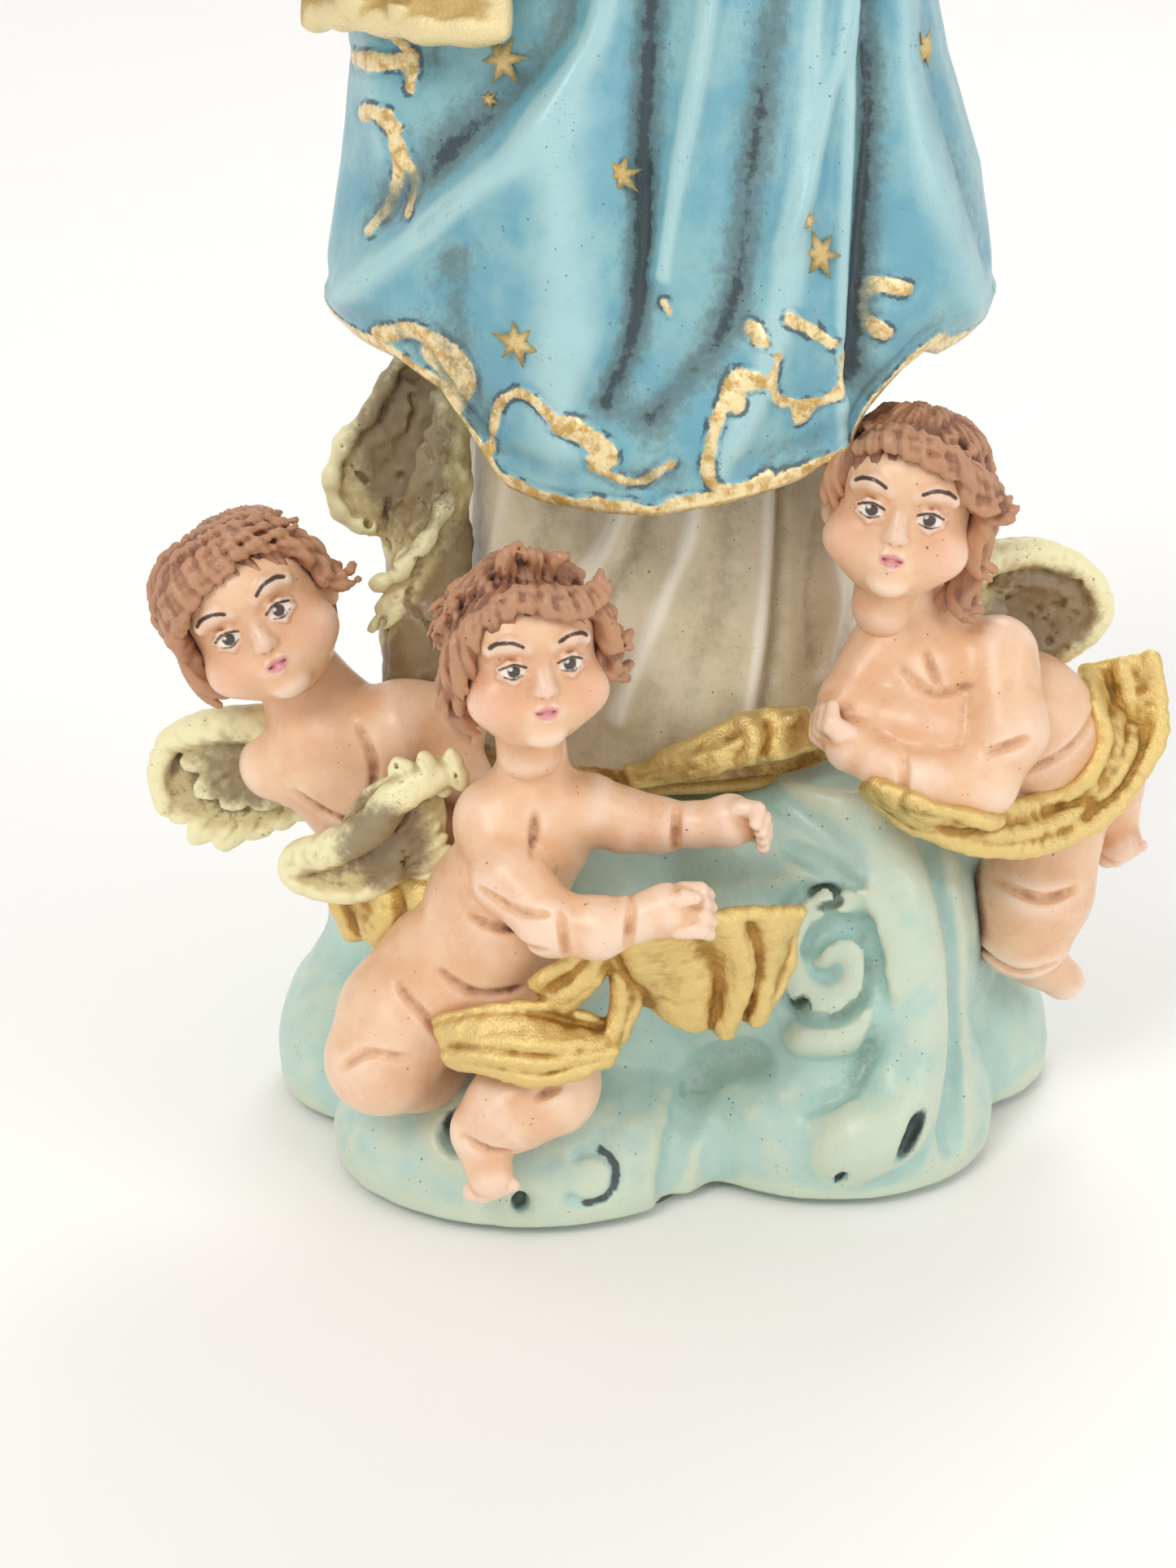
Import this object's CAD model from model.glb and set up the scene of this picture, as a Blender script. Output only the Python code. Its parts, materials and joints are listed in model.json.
import json
import math
import bpy
import bmesh
import numpy as np
import openvdb
from mathutils import Vector, Matrix

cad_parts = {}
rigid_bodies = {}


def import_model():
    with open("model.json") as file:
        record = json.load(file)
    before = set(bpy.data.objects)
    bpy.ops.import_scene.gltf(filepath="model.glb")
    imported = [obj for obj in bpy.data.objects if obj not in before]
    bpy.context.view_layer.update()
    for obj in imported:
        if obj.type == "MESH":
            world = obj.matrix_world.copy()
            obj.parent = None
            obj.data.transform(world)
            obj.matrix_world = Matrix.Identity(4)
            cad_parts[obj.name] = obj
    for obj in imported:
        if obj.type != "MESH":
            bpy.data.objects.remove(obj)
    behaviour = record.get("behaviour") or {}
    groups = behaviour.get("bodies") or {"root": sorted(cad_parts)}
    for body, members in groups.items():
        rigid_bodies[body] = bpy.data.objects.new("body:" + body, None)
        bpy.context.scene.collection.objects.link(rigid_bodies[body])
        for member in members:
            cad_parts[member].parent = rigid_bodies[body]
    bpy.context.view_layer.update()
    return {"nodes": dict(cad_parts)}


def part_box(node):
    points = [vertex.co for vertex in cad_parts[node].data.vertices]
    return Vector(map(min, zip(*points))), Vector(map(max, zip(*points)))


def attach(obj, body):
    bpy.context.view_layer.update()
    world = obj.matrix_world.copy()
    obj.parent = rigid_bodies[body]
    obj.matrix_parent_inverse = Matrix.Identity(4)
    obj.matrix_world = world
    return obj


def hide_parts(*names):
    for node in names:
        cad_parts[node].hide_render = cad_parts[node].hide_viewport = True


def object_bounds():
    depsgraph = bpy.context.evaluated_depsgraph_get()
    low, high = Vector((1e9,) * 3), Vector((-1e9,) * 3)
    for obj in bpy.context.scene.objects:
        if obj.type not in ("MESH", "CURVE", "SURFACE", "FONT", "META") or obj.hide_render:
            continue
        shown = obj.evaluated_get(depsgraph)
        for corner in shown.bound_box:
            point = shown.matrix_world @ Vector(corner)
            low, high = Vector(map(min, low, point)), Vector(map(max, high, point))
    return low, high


# Hand-painted resin madonna on a cloud with three cherubs. Sizes here are in millimetres.
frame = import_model()
mm = 0.001
print("frame loaded", len(frame["nodes"]), "nodes")


# A lump of modelling clay: distances on a grid, negative inside
def softMin(a, b, blend):
    if blend <= 0:
        return np.minimum(a, b)
    h = np.clip(0.5 + 0.5 * (b - a) / blend, 0, 1)
    return b + (a - b) * h - blend * h * (1 - h)


class Clay:
    far = 4.0

    def __init__(self, low, high, step):
        self.step = step
        self.low = np.array(low, np.float32)
        self.count = np.ceil((np.array(high) - self.low) / step).astype(int) + 1
        self.field = np.full(self.count, self.far, np.float32)

    @classmethod
    def holding(cls, field, low, step, far=4.0):
        # a lump made from values that are worked out already
        lump = cls.__new__(cls)
        lump.field, lump.count, lump.far = field, np.array(field.shape), far
        lump.low, lump.step = low, step
        return lump

    def window(self, low, high):
        a = np.clip(np.floor((np.array(low) - self.low) / self.step).astype(int), 0, self.count)
        b = np.clip(np.ceil((np.array(high) - self.low) / self.step).astype(int) + 1, 0, self.count)
        if (b <= a).any():
            return None, None
        axes = [self.low[i] + self.step * np.arange(a[i], b[i], dtype=np.float32) for i in range(3)]
        spot = (axes[0][:, None, None], axes[1][None, :, None], axes[2][None, None, :])
        return tuple(slice(a[i], b[i]) for i in range(3)), spot

    def put(self, low, high, shape, blend=0.6, cut=False):
        margin = blend + 3 * self.step + 0.3
        part, spot = self.window(np.array(low) - margin, np.array(high) + margin)
        if part is None:
            return self
        d = shape(*spot).astype(np.float32)
        old = self.field[part]
        self.field[part] = -softMin(-old, d, blend) if cut else softMin(old, d, blend)
        return self

    def oval(self, c, radii, blend=0.6, turn=None, cut=False):
        c, radii = np.array(c, np.float32), np.array(radii, np.float32)
        rows = np.array(turn, np.float32) if turn is not None else np.eye(3, dtype=np.float32)
        reach = radii.max() if turn is not None else radii

        def shape(x, y, z):
            p = [x - c[0], y - c[1], z - c[2]]
            q = [rows[0, i] * p[0] + rows[1, i] * p[1] + rows[2, i] * p[2] for i in range(3)]
            near = np.sqrt(sum((q[i] / radii[i]) ** 2 for i in range(3))) + 1e-6
            slope = np.sqrt(sum((q[i] / radii[i] ** 2) ** 2 for i in range(3))) + 1e-6
            return near * (near - 1) / slope
        return self.put(c - reach, c + reach, shape, blend, cut)

    def ball(self, c, r, blend=0.6, cut=False):
        return self.oval(c, (r, r, r), blend, None, cut)

    def limb(self, points, radii, blend=0.6, cut=False):
        points = np.array(points, np.float32)
        radii = np.broadcast_to(np.array(radii, np.float32), (len(points),))
        for a, b, ra, rb in zip(points[:-1], points[1:], radii[:-1], radii[1:]):
            ab = b - a
            long = float(ab @ ab) + 1e-6
            big = max(ra, rb)

            def shape(x, y, z):
                p = (x - a[0], y - a[1], z - a[2])
                t = np.clip((p[0] * ab[0] + p[1] * ab[1] + p[2] * ab[2]) / long, 0, 1)
                gap = np.sqrt(sum((p[i] - t * ab[i]) ** 2 for i in range(3)))
                return gap - (ra + (rb - ra) * t)
            self.put(np.minimum(a, b) - big, np.maximum(a, b) + big, shape, blend, cut)
        return self

    def groove(self, points, radii, blend=0.3):
        return self.limb(points, radii, blend, True)

    def take(self, other, gap=0.0):
        # keep clear of another lump, sampled onto this grid
        part, spot = self.window(other.low, other.low + other.step * (other.count - 1))
        if part is None:
            return self
        grid = np.stack(np.broadcast_arrays(*spot), -1)
        self.field[part] = np.maximum(self.field[part], gap - other.at(grid))
        return self

    def at(self, points):
        # trilinear sample; far away outside the grid
        q = (points - self.low) / self.step
        inside = ((q >= 0) & (q <= self.count - 1.001)).all(-1)
        q = np.clip(q, 0, self.count - 1.001)
        i = q.astype(int)
        f = (q - i).astype(np.float32)
        total = 0
        for n in range(8):
            k = [(n >> j) & 1 for j in range(3)]
            w = np.prod([f[..., j] if k[j] else 1 - f[..., j] for j in range(3)], axis=0)
            total = total + w * self.field[i[..., 0] + k[0], i[..., 1] + k[1], i[..., 2] + k[2]]
        return np.where(inside, total, self.far)

    def front(self, x, z, start=-40.0, into=(0, 1, 0)):
        # first place the surface is met going back from the front
        s = np.arange(0, 60, self.step * 0.7)
        line = np.stack([x + s * into[0], start + s * into[1], z + s * into[2]], -1)
        d = self.at(line)
        hit = np.argmax(d < 0)
        return line[hit] if d[hit] < 0 else None

    def gradient(self, points):
        e = self.step
        shifts = np.eye(3) * e
        n = np.stack([self.at(points + s) - self.at(points - s) for s in shifts], -1)
        return n / (np.linalg.norm(n, axis=-1, keepdims=True) + 1e-9)

    def harden(self):
        grid = openvdb.FloatGrid(self.far)
        grid.copyFromArray(self.field)
        points, quads = grid.convertToQuads(isovalue=0.0)
        return points * self.step + self.low, np.array(quads)


def blurred(field, reach):
    # three running means along each axis, close to a Gaussian
    out = field.astype(np.float32)
    n = max(1, int(round(reach)))
    for axis in range(out.ndim):
        for _ in range(2):
            pad = [(n + 1, n) if k == axis else (0, 0) for k in range(out.ndim)]
            total = np.cumsum(np.pad(out, pad, mode="edge"), axis=axis, dtype=np.float64)
            hi = [slice(None)] * out.ndim
            lo = [slice(None)] * out.ndim
            hi[axis] = slice(2 * n + 1, None)
            lo[axis] = slice(0, -(2 * n + 1))
            out = ((total[tuple(hi)] - total[tuple(lo)]) / (2 * n + 1)).astype(np.float32)
    return out


def unit(v):
    v = np.array(v, float)
    return v / np.linalg.norm(v)


def smoothLine(points, count):
    # a Catmull-Rom curve through the points
    p = np.array(points, float)
    p = np.vstack([2 * p[0] - p[1], p, 2 * p[-1] - p[-2]])
    out = []
    for u in np.linspace(0, len(p) - 3 - 1e-6, count):
        i = int(u)
        t = u - i
        a, b, c, d = p[i:i + 4]
        out.append(0.5 * (2 * b + (c - a) * t + (2 * a - 5 * b + 4 * c - d) * t * t
                          + (3 * b - a - 3 * c + d) * t ** 3))
    return np.array(out)


def turnTo(angleX=0, angleY=0, angleZ=0):
    m = Matrix.Rotation(math.radians(angleZ), 3, "Z") @ Matrix.Rotation(math.radians(angleY), 3, "Y")
    return np.array(m @ Matrix.Rotation(math.radians(angleX), 3, "X"))


def linked(name, data):
    thing = bpy.data.objects.new(name, data)
    bpy.context.scene.collection.objects.link(thing)
    return thing


def plainMesh(name, points, edges=(), faces=()):
    # points in millimetres
    mesh = bpy.data.meshes.new(name)
    mesh.from_pydata((np.array(points) * mm).tolist(), edges, faces)
    return mesh


def store(mesh, key, values):
    layer = mesh.attributes.new(key, "FLOAT", "POINT")
    layer.data.foreach_set("value", np.ascontiguousarray(values, np.float32))


def addPiece(name, points, faces, replaces=(), attributes=None):
    mesh = plainMesh(name, points, [], faces)
    mesh.update()
    mesh.shade_smooth()
    for key, values in (attributes or {}).items():
        store(mesh, key, values)
    piece = linked(name, mesh)
    keepPiece(piece, replaces)
    return piece


def keepPiece(piece, replaces=()):
    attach(piece, "root")
    if replaces:
        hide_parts(*replaces)


def withoutCrumbs(points, quads, least=600):
    # drops loose bits with few faces: every corner takes the lowest label of its patch
    label = np.arange(len(points))
    while True:
        low = label[quads].min(axis=1)
        spread = label.copy()
        np.minimum.at(spread, quads.ravel(), np.repeat(low, 4))
        spread = spread[spread]
        if (spread == label).all():
            break
        label = spread
    owner = label[quads[:, 0]]
    quads = quads[np.bincount(owner, minlength=len(points))[owner] >= least]
    used, corners = np.unique(quads, return_inverse=True)
    return points[used], corners.reshape(-1, 4)


def addClay(name, clay, replaces=(), extra=None, folds=0.7):
    points, quads = withoutCrumbs(*clay.harden())
    fine = blurred(clay.field, 0.35 / clay.step) - clay.field
    broad = blurred(clay.field, folds / clay.step) - clay.field
    values = {key: Clay.holding(field, clay.low, clay.step).at(points)
              for key, field in (("fine", fine), ("broad", broad))}
    values.update(extra(points) if extra else {})
    piece = addPiece(name, points, quads.tolist(), replaces, values)
    print("piece", name, len(quads), "faces")
    return piece


# Shader nodes
class NodeMaker:
    # adds nodes to one tree: settings first, then the values or links of the sockets
    def node(self, kind, settings=None, sockets=None):
        node = self.tree.nodes.new(kind)
        for key, value in (settings or {}).items():
            setattr(node, key, value)
        for key, value in (sockets or {}).items():
            value = value.socket if isinstance(value, Wire) else value
            if isinstance(value, bpy.types.NodeSocket):
                self.tree.links.new(value, node.inputs[key])
            else:
                node.inputs[key].default_value = value
        return node

    def wire(self, socket):
        return Wire(self.tree, socket)


class Wire:
    # a socket that takes part in plain arithmetic
    def __init__(self, tree, socket):
        self.tree, self.socket = tree, socket

    def math(self, operation, other=None, flip=False):
        node = self.tree.nodes.new("ShaderNodeMath")
        node.operation = operation
        sides = [self, other][::-1] if flip else [self, other]
        for n, side in enumerate(sides):
            if isinstance(side, Wire):
                self.tree.links.new(side.socket, node.inputs[n])
            elif side is not None:
                node.inputs[n].default_value = side
        return Wire(self.tree, node.outputs[0])

    def __add__(self, other): return self.math("ADD", other)
    def __sub__(self, other): return self.math("SUBTRACT", other)
    def __mul__(self, other): return self.math("MULTIPLY", other)
    def __rsub__(self, other): return self.math("SUBTRACT", other, True)
    __radd__, __rmul__ = __add__, __mul__


class Paint(NodeMaker):
    def __init__(self, name):
        self.material = bpy.data.materials.new(name)
        self.material.use_nodes = True
        self.tree = self.material.node_tree
        self.tree.nodes.clear()
        place = self.node("ShaderNodeTexCoord").outputs["Object"]
        self.place = self.node("ShaderNodeVectorMath", {"operation": "SCALE"},
                               {0: place, "Scale": 1 / mm}).outputs[0]

    def attribute(self, name):
        return self.wire(self.node("ShaderNodeAttribute", {"attribute_name": name}).outputs["Fac"])

    def stretched(self, scale):
        return self.node("ShaderNodeMapping", None, {"Vector": self.place, "Scale": scale}).outputs[0]

    def noise(self, scale, detail=2.0, rough=0.5, vector=None, twist=0.0):
        return self.wire(self.node("ShaderNodeTexNoise", None, {
            "Vector": vector or self.place, "Scale": scale, "Detail": detail,
            "Roughness": rough, "Distortion": twist}).outputs["Fac"])

    def dots(self, scale):
        return self.wire(self.node("ShaderNodeTexVoronoi", None, {
            "Vector": self.place, "Scale": scale}).outputs["Distance"])

    def ramp(self, value, low, high):
        # 0 below low, 1 above high, eased between
        return self.wire(self.node("ShaderNodeMapRange", {"interpolation_type": "SMOOTHSTEP"}, {
            "Value": value, "From Min": low, "From Max": high}).outputs[0])

    def mix(self, factor, a, b, blend="MIX"):
        node = self.node("ShaderNodeMix", {"data_type": "RGBA", "blend_type": blend}, {0: factor})
        for key, value in ((6, a), (7, b)):
            if isinstance(value, Wire):
                self.tree.links.new(value.socket, node.inputs[key])
            else:
                node.inputs[key].default_value = (*value, 1)
        return self.wire(node.outputs[2])

    def finish(self, colour, roughness, height, settings=None, depth=0.12):
        bump = self.node("ShaderNodeBump", None, {
            "Height": height, "Strength": 1.0, "Distance": depth * mm}).outputs[0]
        sockets = {"Base Color": colour, "Roughness": roughness, "Normal": bump, "IOR": 1.5}
        sockets.update(settings or {})
        shader = self.node("ShaderNodeBsdfPrincipled", None, sockets)
        self.node("ShaderNodeOutputMaterial", None, {"Surface": shader.outputs[0]})
        return self.material


def srgb(text):
    # a paint mixed by eye, as a hex value, to the renderer's linear light
    parts = [int(text[i:i + 2], 16) / 255 for i in (0, 2, 4)]
    return tuple(((c + 0.055) / 1.055) ** 2.4 if c > 0.04045 else c / 12.92 for c in parts)


def resinPaint(name, look, extra=None):
    # satin paint on cast resin: dark wash in hollows, dry-brushed light on crests, pits and specks
    p = Paint(name)
    cloudy = p.noise(look.get("patch", 0.16), 3, 0.6)
    fleck = p.noise(3.2, 4, 0.7)
    grain = p.noise(1.1, 5, 0.75)
    fine, broad, shade = p.attribute("fine"), p.attribute("broad"), p.attribute("shade")
    colour = p.mix(p.ramp(cloudy, 0.36, 0.64), srgb(look["base"]), srgb(look["second"]))
    crest = p.ramp(broad * 2.2 + fine * 2.0 + (grain - 0.5) * 0.35, look.get("crestFrom", 0.06),
                   look.get("crestTo", 0.6))
    colour = p.mix(crest * look.get("crest", 0.6), colour, srgb(look["light"]))
    if extra:
        colour = extra(p, colour)
    hollow = (broad * -look.get("hollow", 2.4) - fine * 2.4 + shade * look.get("under", 0.9)
              + (grain - 0.5) * look.get("ragged", 1.3) + (fleck - 0.5) * 0.5 + (cloudy - 0.5)
              * look.get("clouded", 0.7))
    wash = p.ramp(hollow, look.get("washFrom", 0.12), look.get("washTo", 0.95))
    colour = p.mix(wash * look.get("wash", 0.75), colour, srgb(look["dark"]))
    deep = p.ramp(hollow, look.get("deepFrom", 0.75), look.get("deepFrom", 0.75) + 0.7)
    colour = p.mix(deep * 0.9, colour, srgb(look["deep"]))
    pits = p.ramp(p.dots(1.5) + (grain - 0.5) * 0.5, 0.1, 0.02) * p.ramp(p.noise(0.35, 1), 0.5, 0.62)
    specks = p.ramp(fleck + (p.noise(0.22, 2) - 0.5) * 0.5, 0.66, 0.74) * look.get("speck", 0.5)
    colour = p.mix(specks, colour, srgb(look["dark"]))
    colour = p.mix(pits * 0.7, colour, srgb(look["deep"]))
    roughness = (grain - 0.5) * 0.3 + wash * 0.22 + look.get("rough", 0.34)
    brush = p.noise(1.0, 3, 0.6, p.stretched(look.get("stroke", (0.9, 0.9, 0.25))))
    height = (fleck - 0.5) * 0.35 + (brush - 0.5) * 0.9 + (grain - 0.5) * 0.6 - pits * 1.2
    return p.finish(colour, roughness, height, {
        "Coat Weight": look.get("coat", 0.25), "Coat Roughness": 0.22,
        "Subsurface Weight": look.get("glow", 0.0), "Subsurface Radius": (1.0, 0.45, 0.3),
        "Subsurface Scale": 0.6 * mm}, look.get("relief", 0.1))


def giltPaint(name, look):
    # gold paint brushed over umber
    p = Paint(name)
    grain = p.noise(1.3, 5, 0.75)
    fleck = p.noise(4.2, 3, 0.7)
    fine, broad, shade = p.attribute("fine"), p.attribute("broad"), p.attribute("shade")
    tone = p.ramp(p.noise(0.5, 3, 0.6), 0.35, 0.65)
    colour = p.mix(tone, srgb(look["gold"]), srgb(look["second"]))
    lit = p.ramp(broad * 2 + fine * 2 + (grain - 0.5) * 0.5, 0.0, 0.45)
    colour = p.mix(lit * 0.8, colour, srgb(look["light"]))
    hollow = broad * -2.2 - fine * 2.4 + shade * look.get("under", 0.8) + (grain - 0.5) * 1.1
    wash = p.ramp(hollow, 0.05, 0.9) * look.get("wash", 1.0)
    colour = p.mix(wash * 0.85, colour, srgb(look["dark"]))
    metal = (1 - wash) * look.get("metal", 0.75)
    roughness = (fleck - 0.5) * 0.35 + (grain - 0.5) * 0.2 + wash * 0.3 + look.get("rough", 0.34)
    height = (fleck - 0.5) * 0.7 + (grain - 0.5) * 0.8
    return p.finish(colour, roughness, height, {"Metallic": metal}, 0.12)


blueLook = {"base": "6aa6b8", "second": "88b9c0", "light": "b6d9da", "dark": "5d7476",
            "deep": "2b3a40", "wash": 0.8, "crest": 0.7, "crestFrom": 0.12, "crestTo": 1.2,
            "washFrom": 0.15,
            "washTo": 1.45, "deepFrom": 1.5, "hollow": 2.6, "speck": 0.6, "rough": 0.34, "coat": 0.25,
            "stroke": (1.1, 1.1, 0.12),
            "relief": 0.08, "ragged": 2.3, "clouded": 1.7, "patch": 0.2}
creamLook = {"base": "e2d6ba", "second": "d5c7a6", "light": "f3ecdb", "dark": "9b8b6e", "deep": "66553f",
             "wash": 0.6, "under": 0.5, "crest": 0.9, "crestTo": 0.7, "speck": 0.55, "rough": 0.38,
             "stroke": (1.1, 1.1, 0.15),
             "ragged": 2.0, "clouded": 1.6, "washFrom": 0.3, "washTo": 1.6, "deepFrom": 1.6}
mintLook = {"base": "a9cbc3", "second": "b9d5cb", "light": "d3dac0", "dark": "75806f",
            "deep": "232c35", "wash": 0.7, "crest": 0.75, "speck": 0.4, "washFrom": 0.6, "washTo": 1.7,
            "deepFrom": 1.5, "under": 0.5, "rough": 0.36, "hollow": 1.15, "ragged": 1.7, "clouded": 1.3,
            "relief": 0.1}
goldLook = {"gold": "ba8e45", "second": "a67b38", "light": "f3d890", "dark": "5c4020", "metal": 0.7}


# The mantle: a loft whose folds are drawn as lines on its front
mantle = {
    "columns": 464, "rows": 200, "top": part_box("mantle")[1][2] / mm,
    "heights": [50, 53, 60, 66, 75, 83, 90, 97, 104, 108],
    "left": [15.5, 18, 22.4, 25.0, 23.8, 23.0, 23.4, 22.6, 19.0, 17.0],
    "right": [16, 18, 20.5, 24.6, 23.0, 20.2, 18.6, 17.8, 17.0, 16.5],
    "front": [20.6, 20.6, 20.4, 20.2, 18.8, 17.2, 15.6, 14.2, 13.0, 12.5],
    "back": [20.2, 20.2, 19.4, 18.8, 17.6, 16.4, 15.2, 14.0, 13.0, 12.5],
    "hemTurn": [-180, -160, -130, -90, -50, -20, 3, 18, 31, 37, 42, 47, 51, 60, 70, 81, 93,
                104, 116, 126, 131, 135, 145, 163, 180],
    "hemHeight": [65.2, 62.5, 58.5, 57, 59, 62.5, 65, 63.8, 63.2, 64, 62.8, 60, 57.4, 56, 55.4,
                  54.8, 54.1, 54.3, 54.6, 55.2, 58, 61.4, 63.2, 63.6, 65.2]}
# line across the front as (x, height), how far it stands out, and its width
mantleFolds = [
    ([(-3.4, 100), (-4.7, 88.2), (-6.9, 83.5), (-10.2, 78.6), (-14.8, 74.5), (-19.5, 70), (-23.4, 65.8)],
     1.5, 1.5),
    ([(-6.5, 96), (-7.5, 86.1), (-11.3, 81.7), (-15.9, 77.6), (-20.1, 73.7)], -1.5, 2.4),
    ([(-7.6, 80), (-7.4, 72), (-7.2, 65), (-7.5, 57)], 1.5, 3.6),
    ([(-15.5, 70.5), (-14.6, 64), (-13.4, 60)], -0.9, 2.2),
    ([(-1, 108), (-1.4, 95), (-1.5, 88.2), (-2, 80.5), (-2, 72.6), (-2.8, 66.1), (-4.7, 61.6)], -1.9, 1.7),
    ([(3, 108), (2.8, 96), (2.3, 88.2), (1.3, 82), (0.2, 76.8), (-0.8, 70.5)], 1.2, 0.8),
    ([(8, 108), (7.7, 96), (7.3, 88.1), (5.7, 77.8), (4.1, 67.2), (-1.4, 60.5)], -1.5, 2.0),
    ([(9.8, 98), (9, 82.8), (8.2, 75), (6.4, 64.3), (3.2, 57)], 1.5, 1.7),
    ([(12.2, 108), (11.5, 87.8), (10.1, 81.7), (8.8, 76), (7.4, 72.4)], 0.9, 0.6),
    ([(12.2, 108), (11.8, 87.8), (11.8, 77.4), (11.8, 66.7), (12, 56.9)], 1.3, 0.75),
    ([(14.2, 108), (13.9, 87.7), (14.2, 79.8), (13.7, 71.9), (12.8, 63.1)], -1.9, 1.5),
    ([(15.5, 98), (16.1, 82.2), (18.6, 73.9), (20.6, 68.6), (21.8, 65.5)], 1.4, 2.0),
    ([(17.4, 92), (18.6, 82), (21, 75), (23.4, 69)], -0.8, 1.2),
    ([(-19, 99), (-20.6, 90), (-20.4, 82), (-19.8, 77)], 1.0, 1.6),
    ([(-15.4, 100), (-16.8, 90), (-16.6, 84)], -0.8, 1.6)]
# brushed gold ornament as (x, height) lines with the stroke's half width
goldStrokes = [
    ([(-20.6, 64.4), (-18.2, 65.3), (-16.2, 64.5), (-14.9, 63.5), (-14.4, 62.2), (-15.0, 61.0),
      (-15.8, 59.2)], 0.75),
    ([(-17.0, 63.9), (-15.6, 62.6), (-15.3, 61.0)], 1.0),
    ([(-12.8, 54.9), (-12.7, 58.0), (-12.2, 60.3), (-11.2, 61.7), (-9.8, 62.1), (-8.1, 61.0), (-6.6, 59.9)],
     0.42),
    ([(-7.2, 60.3), (-6.2, 59.8), (-5.0, 59.0), (-4.3, 58.0), (-4.8, 57.4)], 0.85),
    ([(-5.4, 58.0), (-4.1, 56.7), (-2.2, 56.2), (0.1, 57.5)], 0.32),
    ([(6.2, 63.3), (4.5, 63.8), (3.7, 62.2), (2.7, 59.3), (2.5, 57.0), (3.2, 55.9), (5.2, 55.8),
      (6.9, 56.4)], 0.45),
    ([(5.6, 63.4), (4.6, 63.2), (4.2, 61.8)], 0.7),
    ([(7.0, 65.1), (6.7, 63.1), (7.3, 61.9), (9.1, 61.3), (10.8, 61.4), (12.0, 62.6), (11.9, 64.4)], 0.4),
    ([(8.6, 61.1), (9.1, 60.2), (9.8, 61.0)], 0.5),
    ([(7.8, 67.6), (9.5, 66.6), (11.0, 65.4)], 0.5),
    ([(5.6, 66.8), (6.0, 66.2)], 0.65),
    ([(16.5, 68.4), (14.7, 69.0), (13.6, 67.9), (14.1, 66.6), (15.2, 65.6)], 0.6),
    ([(-21.8, 83.0), (-20.3, 83.2), (-18.6, 83.4)], 0.7),
    ([(-19.0, 85.1), (-18.0, 83.8), (-17.9, 81.6)], 0.35),
    ([(-19.4, 79.8), (-18.9, 77.2), (-20.1, 74.2), (-21.4, 71.5)], 0.42),
    ([(-21.2, 79.4), (-20.0, 79.9), (-19.0, 79.0)], 0.6),
    ([(-19.0, 77.7), (-18.4, 75.9), (-18.6, 73.3)], 0.4),
    ([(-0.5, 68.6), (-0.1, 68.0)], 0.3)]


def lineDistance(x, z, points):
    best = np.full(np.shape(x), 1e3)
    for a, b in zip(points[:-1], points[1:]):
        ab = np.subtract(b, a)
        t = np.clip(((x - a[0]) * ab[0] + (z - a[1]) * ab[1]) / (ab @ ab), 0, 1)
        best = np.minimum(best, np.hypot(x - a[0] - t * ab[0], z - a[1] - t * ab[1]))
    return best


def ripple(x, z, seed, scale):
    # soft random unevenness, the same on every run
    rng = np.random.default_rng(seed)
    total = 0
    for k in range(7):
        angle, phase = rng.uniform(0, 2 * math.pi, 2)
        wave = scale * rng.uniform(0.6, 1.7)
        total = total + np.sin((x * math.cos(angle) + z * math.sin(angle)) * wave + phase)
    return total / 7


def easeStep(value, low, high):
    t = np.clip((value - low) / (high - low), 0, 1)
    return t * t * (3 - 2 * t)


def mantlePoint(turn, z):
    # the plain mantle at an angle in degrees, 0 at +X and 90 at the front
    c, s = np.cos(np.radians(turn)), np.sin(np.radians(turn))
    side = easeStep(-c, -0.35, 0.35)
    wide = (np.interp(z, mantle["heights"], mantle["right"]) * (1 - side)
            + np.interp(z, mantle["heights"], mantle["left"]) * side)
    deep = np.where(s > 0, np.interp(z, mantle["heights"], mantle["front"]),
                    np.interp(z, mantle["heights"], mantle["back"]))
    normal = np.stack([c / wide, -s / deep], -1)
    normal /= np.linalg.norm(normal, axis=-1, keepdims=True)
    return wide * c, -deep * s, normal


def mantleRelief(turn, z, x):
    # how far the cloth stands out from the plain loft, and the distance to the gold
    s = np.sin(np.radians(turn))
    ahead = easeStep(s, 0.0, 0.3)
    out = np.zeros_like(x)
    for line, height, width in mantleFolds:
        d = lineDistance(x, z, smoothLine(line, 28))
        out += 0.85 * height * np.exp(-(d / width) ** 1.5)
    fall = np.clip((z - 54) / 54, 0, 1)
    back = (1.3 - 1.2 * fall) * (0.55 * np.cos(np.radians(turn) * 11 + 0.9 * np.sin(z / 13))
                                 + 0.45 * np.cos(np.radians(turn) * 7 - z / 17 + 1))
    out = out * ahead + back * (1 - ahead)
    out += 0.10 * ripple(x, z, 3, 0.5) + 0.05 * ripple(x * 1.3, z, 5, 1.4)
    gold = np.full_like(x, 9.0)
    for line, half in goldStrokes:
        wobble = 0.16 * ripple(x, z, len(line), 2.1)
        gold = np.minimum(gold, lineDistance(x, z, smoothLine(line, 20)) - half * 0.8 + wobble)
    gold = np.where(s > 0, gold, 9.0)
    return out, gold


def ringFaces(levels, n):
    # quads between rings of n points, the lowest ring first
    return [(j * n + i, j * n + (i + 1) % n, (j + 1) * n + (i + 1) % n, (j + 1) * n + i)
            for j in range(levels - 1) for i in range(n)]


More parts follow.
